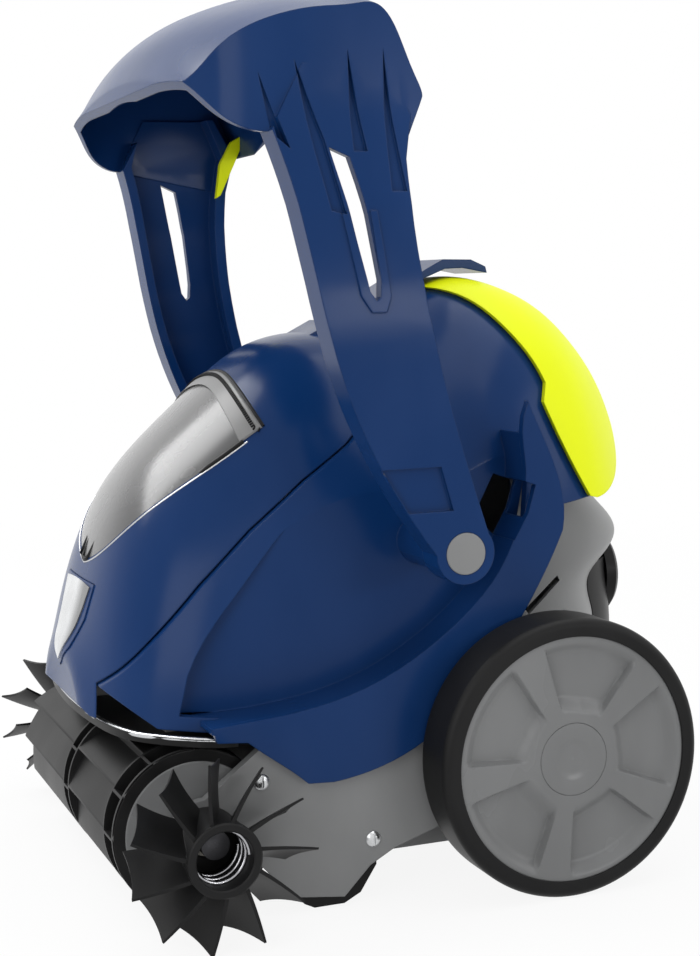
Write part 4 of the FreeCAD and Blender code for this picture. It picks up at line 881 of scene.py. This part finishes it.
@dataclass
class FrameSkins:
    """Merged, softly shaded copies of the frame's visible nodes."""

    own: tuple[str, ...] = ()
    smooth: float = 28.0

    def build(self) -> None:
        """Copy, merge and dress each node that has no piece of its own."""
        slots = {entry["node"]: entry["material_slot"] for entry in frame["record"]["subparts"]}
        for name, node in frame["nodes"].items():
            slot = slots[name]
            if name in self.own:
                continue
            mesh = node.data.copy()
            mesh.materials.clear()
            mesh.materials.append(finish_of(NODE_FINISHES.get(name, slot)))
            skin = bpy.data.objects.new(f"{name}_skin", mesh)
            bpy.context.scene.collection.objects.link(skin)
            tidy(skin, self.smooth, recalculate=False)
            settle(skin, node["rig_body"], slot, name)


@dataclass
class Wheel:
    """Wheel disc with five flush spokes between dished pads, and its rim and hub."""

    side: Side
    face: float = 179 * MM
    back: float = 146 * MM
    rim: float = 70 * MM
    flange: float = 66 * MM
    web: float = 5 * MM
    hub: float = 17 * MM
    bore: float = 6.05 * MM
    seat: float = 20.8 * MM
    seat_depth: float = 2.5 * MM
    pad_inner: float = 27.5 * MM
    pad_outer: float = 68.4 * MM
    dish: float = 5.0 * MM
    spokes: int = 5
    spoke_angle: float = 42.5
    spoke_half: float = 4.6 * MM
    spoke_spread: float = 0.155
    step_back: float = 1.5 * MM
    hub_length: float = 31 * MM
    face_rows: int = 56
    columns: int = 400

    def depth(self, radius: float, angle: float) -> float:
        """How far a point of the face is dished.

        Args:
            radius: distance from the axle.
            angle: direction in radians.

        Returns:
            Depth in metres.
        """
        pitch = math.tau / self.spokes
        away = abs((angle - math.radians(self.spoke_angle) + pitch / 2) % pitch - pitch / 2)
        half = self.spoke_half + self.spoke_spread * max(0.0, radius - 28 * MM)
        aside = radius * math.sin(min(away, math.pi / 2)) - half
        sides = ease(0.0, 1.6 * MM, aside)
        inner = ease(self.pad_inner, self.pad_inner + 10 * MM, radius + 0.18 * max(0.0, aside))
        outer = 1 - ease(self.pad_outer - 9 * MM, self.pad_outer, radius)
        return self.dish * sides * inner * outer

    def build(self) -> bpy.types.Object:
        """Make the disc.

        Returns:
            The disc.
        """
        radii = [self.seat + (self.rim - self.seat) * step / self.face_rows
                 for step in range(self.face_rows + 1)]
        sunk, inside = self.face - self.seat_depth, self.face - self.web - self.step_back
        profile = [(sunk, self.bore), (sunk, self.seat)] + [(self.face, radius) for radius in radii]
        profile += [(self.back, self.rim), (self.back, self.flange),
                    (inside, self.flange), (inside, self.hub),
                    (self.face - self.hub_length, self.hub), (self.face - self.hub_length, self.bore)]
        points = []
        for x, radius in profile:
            on_face = x == self.face
            for column in range(self.columns):
                angle = math.tau * column / self.columns
                drop = self.depth(radius, angle) if on_face else 0.0
                points.append((x - drop, AXLE_Y + radius * math.cos(angle), 0.08 + radius * math.sin(angle)))
        made = add_mesh(f"wheel_face_{self.side.word}", mirrored(points, self.side),
                        lathe_faces(len(profile), self.columns), "rim_grey", 32.0)
        return settle(made, f"wheel_{self.side.word}", "rim_grey", f"wheel_disc_{self.side.word}")


@dataclass
class BladeWheel:
    """Eleven soft twisted blades with slanted hollow tips on an open tube."""

    side: Side
    repeater: Repeater
    centre_y: float = -137.75 * MM
    centre_z: float = 52 * MM
    low: float = 150 * MM
    high: float = 182 * MM
    tube: float = 19.5 * MM
    bore: float = 15.6 * MM
    tip: float = 51.6 * MM
    twist: float = 25.0
    count: int = 11
    hollow: float = 1.8 * MM
    slant: float = 6.0 * MM
    bow: float = 0.7 * MM
    curl: float = 0.8 * MM
    root_half: float = 1.5 * MM
    thinning: float = 0.7 * MM
    thread_turns: int = 3
    thread_pitch: float = 6.4 * MM
    thread_radius: float = 1.4 * MM
    across: int = 12
    along: int = 14

    def blade(self) -> bpy.types.Object:
        """One blade, pointing along +Z.

        Returns:
            The blade.
        """
        middle, half = (self.low + self.high) / 2, (self.high - self.low) / 2
        slope = math.tan(math.radians(self.twist))
        root = self.tube - 1 * MM
        front, back = [], []
        for row in range(self.along + 1):
            share = row / self.along
            for column in range(self.across + 1):
                u = 2 * column / self.across - 1
                hollow = self.hollow * (1 - u * u) + self.slant * (1 - u) / 2
                radius = root + (self.tip - hollow - root) * share
                sweep = -slope * u * half * (0.85 + 0.15 * share)
                bend = -self.bow * math.sin(math.pi * share) * (1 - 0.3 * u) + self.curl * share * u * u
                thick = (self.root_half - self.thinning * share) * (1 - 0.25 * abs(u) ** 3)
                x, y = middle + u * half, sweep + bend
                front.append((x, y - thick, radius))
                back.append((x, y + thick, radius))
        return add_mesh("blade", mirrored(front + back, self.side), sheet_faces(self.along, self.across),
                        "soft_rubber", 50.0)

    def hub(self) -> bpy.types.Object:
        """The open tube with its end web on the shaft.

        Returns:
            The tube.
        """
        outer, bore = self.tube, self.bore
        low, high = self.low - 3 * MM, self.high + 2 * MM
        profile = [(low, 8 * MM), (low, outer - 1 * MM), (low + 1 * MM, outer), (high - 5 * MM, outer),
                   (high - 5 * MM, outer + 0.9 * MM), (high - 0.8 * MM, outer + 0.9 * MM), (high, outer),
                   (high, bore + 0.8 * MM), (high - 0.8 * MM, bore), (low + 3 * MM, bore),
                   (low + 3 * MM, 8 * MM)]
        columns = 96
        return add_mesh("hub", mirrored(ring_points(profile, columns), self.side),
                        lathe_faces(len(profile), columns), "soft_rubber", 40.0)

    def thread(self, centre: Point) -> bpy.types.Object:
        """The screw thread inside the tube.

        Args:
            centre: where the axis passes.

        Returns:
            The thread.
        """
        radius, start = self.bore - 0.5 * MM, self.high - 5 * MM
        path = []
        for step in range(self.thread_turns * 32 + 1):
            angle = math.tau * step / 32
            path.append(Vector(((start - self.thread_pitch * step / 32) * self.side.value,
                                centre[1] + radius * math.cos(angle), centre[2] + radius * math.sin(angle))))
        made = bar(f"hub_thread_{self.side.word}", path, self.thread_radius, "thread_metal", 8)
        return settle(made, "brush", "steel")

    def build(self) -> bpy.types.Object:
        """Join the hub and the repeated blades into one piece.

        Returns:
            The blade wheel.
        """
        centre = (0.0, self.centre_y, self.centre_z)
        self.thread(centre)
        blades = self.repeater.apply(self.blade(), self.count, 0.0, centre, "soft_rubber")
        hub = self.hub()
        hub.data.transform(Matrix.Translation(centre))
        grid = bmesh.new()
        grid.from_mesh(blades.data)
        grid.from_mesh(hub.data)
        grid.to_mesh(blades.data)
        grid.free()
        bpy.data.objects.remove(hub)
        blades.name = f"blade_ring_{self.side.word}"
        return settle(blades, "brush", "soft_rubber", f"blade_wheel_{self.side.word}")


@dataclass
class Roller:
    """Drum with ramp-shaped troughs between rings and two bands of slots."""

    repeater: Repeater
    low: float = -118 * MM
    high: float = 128 * MM
    centre_y: float = -137.75 * MM
    centre_z: float = 52 * MM
    crest: float = 47.0 * MM
    root: float = 40.8 * MM
    ring: float = 46.0 * MM
    count: int = 12
    columns: int = 360
    slot_depth: float = 9 * MM
    bands: tuple[tuple[float, float], ...] = ((114.5, 9.5), (8.0, 6.0))
    plate: tuple[tuple[float, float], ...] = ((-1, 9), (2.2, 9), (2.2, 20), (1.0, 24), (0.8, 39), (-1, 40))

    def radius(self, x: float, angle: float) -> float:
        """Surface radius at a place along the drum and a direction.

        Args:
            x: place along the axis in metres.
            angle: direction in radians.

        Returns:
            Radius in metres.
        """
        pitch = math.tau / self.count
        share = (angle % pitch) / pitch
        fall = 1 if share < 0.93 else (1 - share) / 0.07
        ramp = self.root + (self.crest - self.root) * share ** 1.6 * fall
        for middle, half in self.bands:
            gap = abs(x / MM - middle)
            if gap < half:
                bar = share < 0.06 or share > 0.94
                return self.ring if bar or gap > half - 0.8 else self.ring - self.slot_depth
            if gap < half + 1.6:
                return self.ring
        return self.ring if self.high - x < 2 * MM else ramp

    def build(self) -> bpy.types.Object:
        """Make the drum and its end plate.

        Returns:
            The drum.
        """
        stations = {self.low, self.high, self.high - 2 * MM, self.high - 2.2 * MM}
        for middle, half in self.bands:
            for edge in (half - 0.9, half - 0.7, half + 1.5, half + 1.7):
                stations |= {(middle - edge) * MM, (middle + edge) * MM}
        angles = [math.tau * column / self.columns for column in range(self.columns)]
        rows = [[(x, self.radius(x, angle)) for angle in angles]
                for x in sorted(stations) if self.low <= x <= self.high]
        rows = [[(self.low, 8 * MM)] * self.columns] + rows + [[(self.high, 8 * MM)] * self.columns]
        points = [(x, self.centre_y + radius * math.cos(angle), self.centre_z + radius * math.sin(angle))
                  for row in rows for angle, (x, radius) in zip(angles, row)]
        self.end_plate()
        made = add_mesh("roller_drum", points, lathe_faces(len(rows), self.columns), "black_plastic", 30.0)
        return settle(made, "brush", "black_plastic", "brush_roller")

    def end_plate(self) -> bpy.types.Object:
        """The pale bearing plate in the drum's left end.

        Returns:
            The plate.
        """
        columns = 96
        profile = [(self.high + reach * MM, radius * MM) for reach, radius in self.plate]
        points = ring_points(profile, columns, self.centre_y, self.centre_z)
        made = add_mesh("roller_end_plate", points, lathe_faces(len(profile), columns), "rim_grey", 30.0)
        return settle(made, "brush", "grey_plastic")


@dataclass
class HoodTrim:
    """Gasket and bead round the window, and the comb of the vent above it; black bars in the grooves also
    serve as painted shade.
    """

    rows: RibRow
    half: float = 76 * MM
    crown: float = 289 * MM
    corner: float = 260 * MM
    waist: float = 218 * MM
    tip: float = 188 * MM
    gasket: float = 1.5 * MM
    bead: float = 0.55 * MM
    rise: float = 8 * MM
    teeth: int = 96
    tooth: Point = (2.4 * MM, 0.7 * MM, 1.3 * MM)
    shield_halves: tuple[tuple[float, float], ...] = (
        (129.0, 0.4), (134.0, 7.0), (142.0, 14.5), (152.0, 21.0), (163.0, 25.0), (176.5, 28.5))
    shield_out: float = 0.9 * MM
    shield_in: float = 0.6 * MM

    def outline(self, grow: float) -> list[Vector]:
        """Front view of the window's lower edge from corner to corner.

        Args:
            grow: how far outside the glass.

        Returns:
            Points of x and z in metres.
        """
        low = (0.0, self.tip - grow)
        right = arc_points(low, (0.72 * self.half + grow * 0.8, self.waist - grow * 0.6),
                           (self.half + grow, self.corner), 40)
        left = [Vector((-point.x, point.y)) for point in reversed(right)]
        return left + right[1:]

    def upper(self, grow: float, count: int) -> list[Vector]:
        """Front view of a line along the vent band, from -X to +X."""
        wide, ends = self.half + 2 * MM, self.corner + grow
        return arc_points((-wide, ends), (0.0, self.crown + grow), (wide, ends), count)

    def build(self) -> None:
        """Make the gasket, the bead, the vent's channel and comb, and the bright nose shield. The black
        channel bar is painted shade in the groove above the comb, and the black gasket is also painted shade
        in the groove round the window.
        """
        skin = Probe("filter_lid", "lid_window", "vent_frame")
        # The black gasket also serves as painted shade in the groove round the window.
        for name, grow, radius, slot in (("window_gasket", 0.3 * MM, self.gasket, "black_plastic"),
                                         ("window_bead", 2.0 * MM, self.bead, "bright_trim")):
            path = [skin.front(point.x, point.y)[0] for point in self.outline(grow)]
            settle(bar(name, path, radius, slot), "hood", slot)
        # Thin black bar: painted shade in the channel above the vent comb.
        path = [skin.front(point.x, point.y)[0] for point in self.upper(self.rise + 0.2 * MM, 60)]
        settle(bar("vent_channel", path, 1.0 * MM, "black_plastic"), "hood", "black_plastic")
        self.shield()
        spots = []
        line = self.upper(self.rise - 1.9 * MM, self.teeth)
        for index, point in enumerate(line):
            place, normal = skin.front(point.x, point.y)
            beside = line[index + 1] if index + 1 < self.teeth else line[index - 1]
            across = skin.front(beside.x, beside.y)[0] - place
            along = across.cross(normal).normalized()
            spots.append((place + normal * 0.3 * MM, along, normal))
        settle(self.rows.apply("vent_comb", spots, self.tooth, "black_plastic"), "hood", "black_plastic")

    def shield(self) -> bpy.types.Object:
        """The slim bright shield on the nose, laid on the hood's surface.

        Returns:
            The shield.
        """
        skin = Probe("filter_lid", "nose_insert")
        rows, columns = 36, 16
        halves = self.shield_halves
        low, high = halves[0][0], halves[-1][0]
        front, back = [], []
        for row in range(rows + 1):
            z = low + (high - low) * (row / rows) ** 1.3
            before, after = next(pair for pair in zip(halves, halves[1:]) if z <= pair[1][0] + 1e-6)
            half = before[1] + (after[1] - before[1]) * (z - before[0]) / (after[0] - before[0])
            for column in range(columns + 1):
                u = 2 * column / columns - 1
                place, normal = skin.front(half * u * MM, (z - 1.5 * u * u * row / rows) * MM)
                front.append(place + normal * self.shield_out)
                back.append(place - normal * self.shield_in)
        made = add_mesh("nose_shield", front + back, sheet_faces(rows, columns), "nose_metal", 40.0)
        return settle(made, "hood", "bright_trim")


@dataclass
class LipRail:
    """Bright rail along the edge of the guard over the roller."""

    height: float = 103.2 * MM
    radius: float = 1.7 * MM
    half: tuple[tuple[float, float], ...] = (
        (137.0, -186.0), (134.2, -196.0), (126.5, -207.2), (114.8, -219.8), (97.2, -232.6), (59.6, -241.8),
        (0.0, -245.3))

    def build(self) -> bpy.types.Object:
        """Make the rail.

        Returns:
            The rail.
        """
        line = [(x * MM, y * MM + AXLE_Y, self.height) for x, y in self.half]
        line += [(-x, y, z) for x, y, z in reversed(line[:-1])]
        made = bar("guard_rail", smooth_path(line, 8), self.radius, "bright_trim")
        return settle(made, "chassis", "bright_trim")


# ------------------------------------------------------------------ stage

@dataclass(frozen=True)
class Lamp:
    """A soft rectangular lamp: place, aim and size in metres, power in watts."""

    name: str
    place: Point
    width: float
    height: float
    power: float
    aim: Point = (0.0, 0.0, 0.2)

    def build(self) -> None:
        """Add the lamp."""
        data = bpy.data.lights.new(self.name, "AREA")
        data.shape = "RECTANGLE"
        data.size, data.size_y, data.energy = self.width, self.height, self.power
        made = bpy.data.objects.new(self.name, data)
        bpy.context.scene.collection.objects.link(made)
        made.location = self.place
        made.rotation_euler = (Vector(self.aim) - Vector(self.place)).to_track_quat("-Z", "Y").to_euler()


LAMPS = (
    Lamp("key_left", (-0.9, -0.9, 1.5), 1.0, 1.0, 20.0),
    Lamp("top", (0.2, 0.3, 1.7), 1.6, 1.2, 12.0),
    Lamp("fill", (1.4, -1.7, 1.0), 1.2, 1.2, 12.0),
    Lamp("wheel_strip", (1.9, 0.9, 0.5), 0.8, 0.15, 4.0, (0.15, 0.07, 0.1)),
    Lamp("rear_side", (1.2, 1.8, 1.2), 1.0, 1.0, 5.0, (0.0, 0.1, 0.25)),
)


@dataclass
class Studio:
    """White floor and backdrop, soft lamps and the camera."""

    ambient: float = 0.55
    floor_half: float = 6.0
    floor_drop: float = 0.0004
    camera_place: Point = (1.039705, -0.462392 + AXLE_Y, 0.349180)
    right: Point = (0.36212596, 0.93181399, -0.02423775)
    up: Point = (-0.093794, 0.06229662, 0.99364069)
    back: Point = (0.92739823, -0.35754974, 0.10995779)
    lens: float = 66.64

    def floor(self) -> None:
        """Pale floor that shows white to the camera and still takes a soft shadow."""
        graph = Graph("studio_floor")
        seen = graph.node("ShaderNodeLightPath", output="Is Camera Ray")
        mirrored_in = graph.node("ShaderNodeLightPath", output="Is Glossy Ray")
        fade = seen.math("MAXIMUM", mirrored_in)
        wave = graph.noise(3.0, 2.0)
        tint = graph.blend(wave, (0.80, 0.80, 0.80), (0.84, 0.84, 0.84))
        pale = graph.node("ShaderNodeBsdfDiffuse", {"Color": tint})
        white = graph.node("ShaderNodeEmission", {"Color": (1.0, 1.0, 1.0), "Strength": 1.0})
        away = graph.node("ShaderNodeVectorMath", {0: graph.place()}, output="Value", operation="LENGTH")
        whiter = fade * away.band(0.3, 1.6, 0.90, 1.0)
        shown = graph.node("ShaderNodeMixShader", {0: whiter, 1: pale, 2: white})
        mesh = bpy.data.meshes.new("floor")
        size = self.floor_half
        corners = [(-size, -size, 0), (size, -size, 0), (size, size, 0), (-size, size, 0)]
        mesh.from_pydata(corners, [], [(0, 1, 2, 3)])
        made = bpy.data.objects.new("floor", mesh)
        bpy.context.scene.collection.objects.link(made)
        mesh.materials.append(graph.finish(shown))
        made.location.z = -self.floor_drop

    def world(self) -> None:
        """White to the camera and reflections, softer as a light."""
        world = bpy.data.worlds.new("studio")
        bpy.context.scene.world = world
        world.use_nodes = True
        nodes, links = world.node_tree.nodes, world.node_tree.links
        nodes.clear()
        path = nodes.new("ShaderNodeLightPath")
        factor = path.outputs["Is Camera Ray"]
        for other in ("Is Transmission Ray", "Is Glossy Ray"):
            most = nodes.new("ShaderNodeMath")
            most.operation = "MAXIMUM"
            links.new(factor, most.inputs[0])
            links.new(path.outputs[other], most.inputs[1])
            factor = most.outputs[0]
        level = nodes.new("ShaderNodeMapRange")
        level.inputs[3].default_value = self.ambient
        level.inputs[4].default_value = 1.0
        links.new(factor, level.inputs[0])
        glow = nodes.new("ShaderNodeBackground")
        glow.inputs["Color"].default_value = (1.0, 1.0, 1.0, 1.0)
        links.new(level.outputs[0], glow.inputs["Strength"])
        out = nodes.new("ShaderNodeOutputWorld")
        links.new(glow.outputs[0], out.inputs[0])

    def camera(self) -> None:
        """Place the camera."""
        data = bpy.data.cameras.new("camera")
        data.lens = self.lens
        data.clip_start, data.clip_end = 0.02, 50.0
        made = bpy.data.objects.new("camera", data)
        bpy.context.scene.collection.objects.link(made)
        turn = Matrix((self.right, self.up, self.back)).transposed()
        made.matrix_world = Matrix.Translation(self.camera_place) @ turn.to_4x4()
        bpy.context.scene.camera = made

    def build(self) -> None:
        """Set everything up."""
        self.floor()
        self.world()
        for lamp in LAMPS:
            lamp.build()
        self.camera()
        bpy.context.scene.view_settings.view_transform = "Standard"


def main() -> None:
    """Build every piece in order."""
    logging.basicConfig(level=logging.INFO)
    repeater = Repeater("round_the_axle")
    own = ["brush_roller"]
    Roller(repeater).build()
    for side in Side:
        Wheel(side).build()
        BladeWheel(side, repeater).build()
        own += [f"wheel_disc_{side.word}", f"blade_wheel_{side.word}"]
    HoodTrim(RibRow("rib_row")).build()
    LipRail().build()
    FrameSkins(tuple(own)).build()
    Studio().build()


if __name__ == "__main__":
    main()
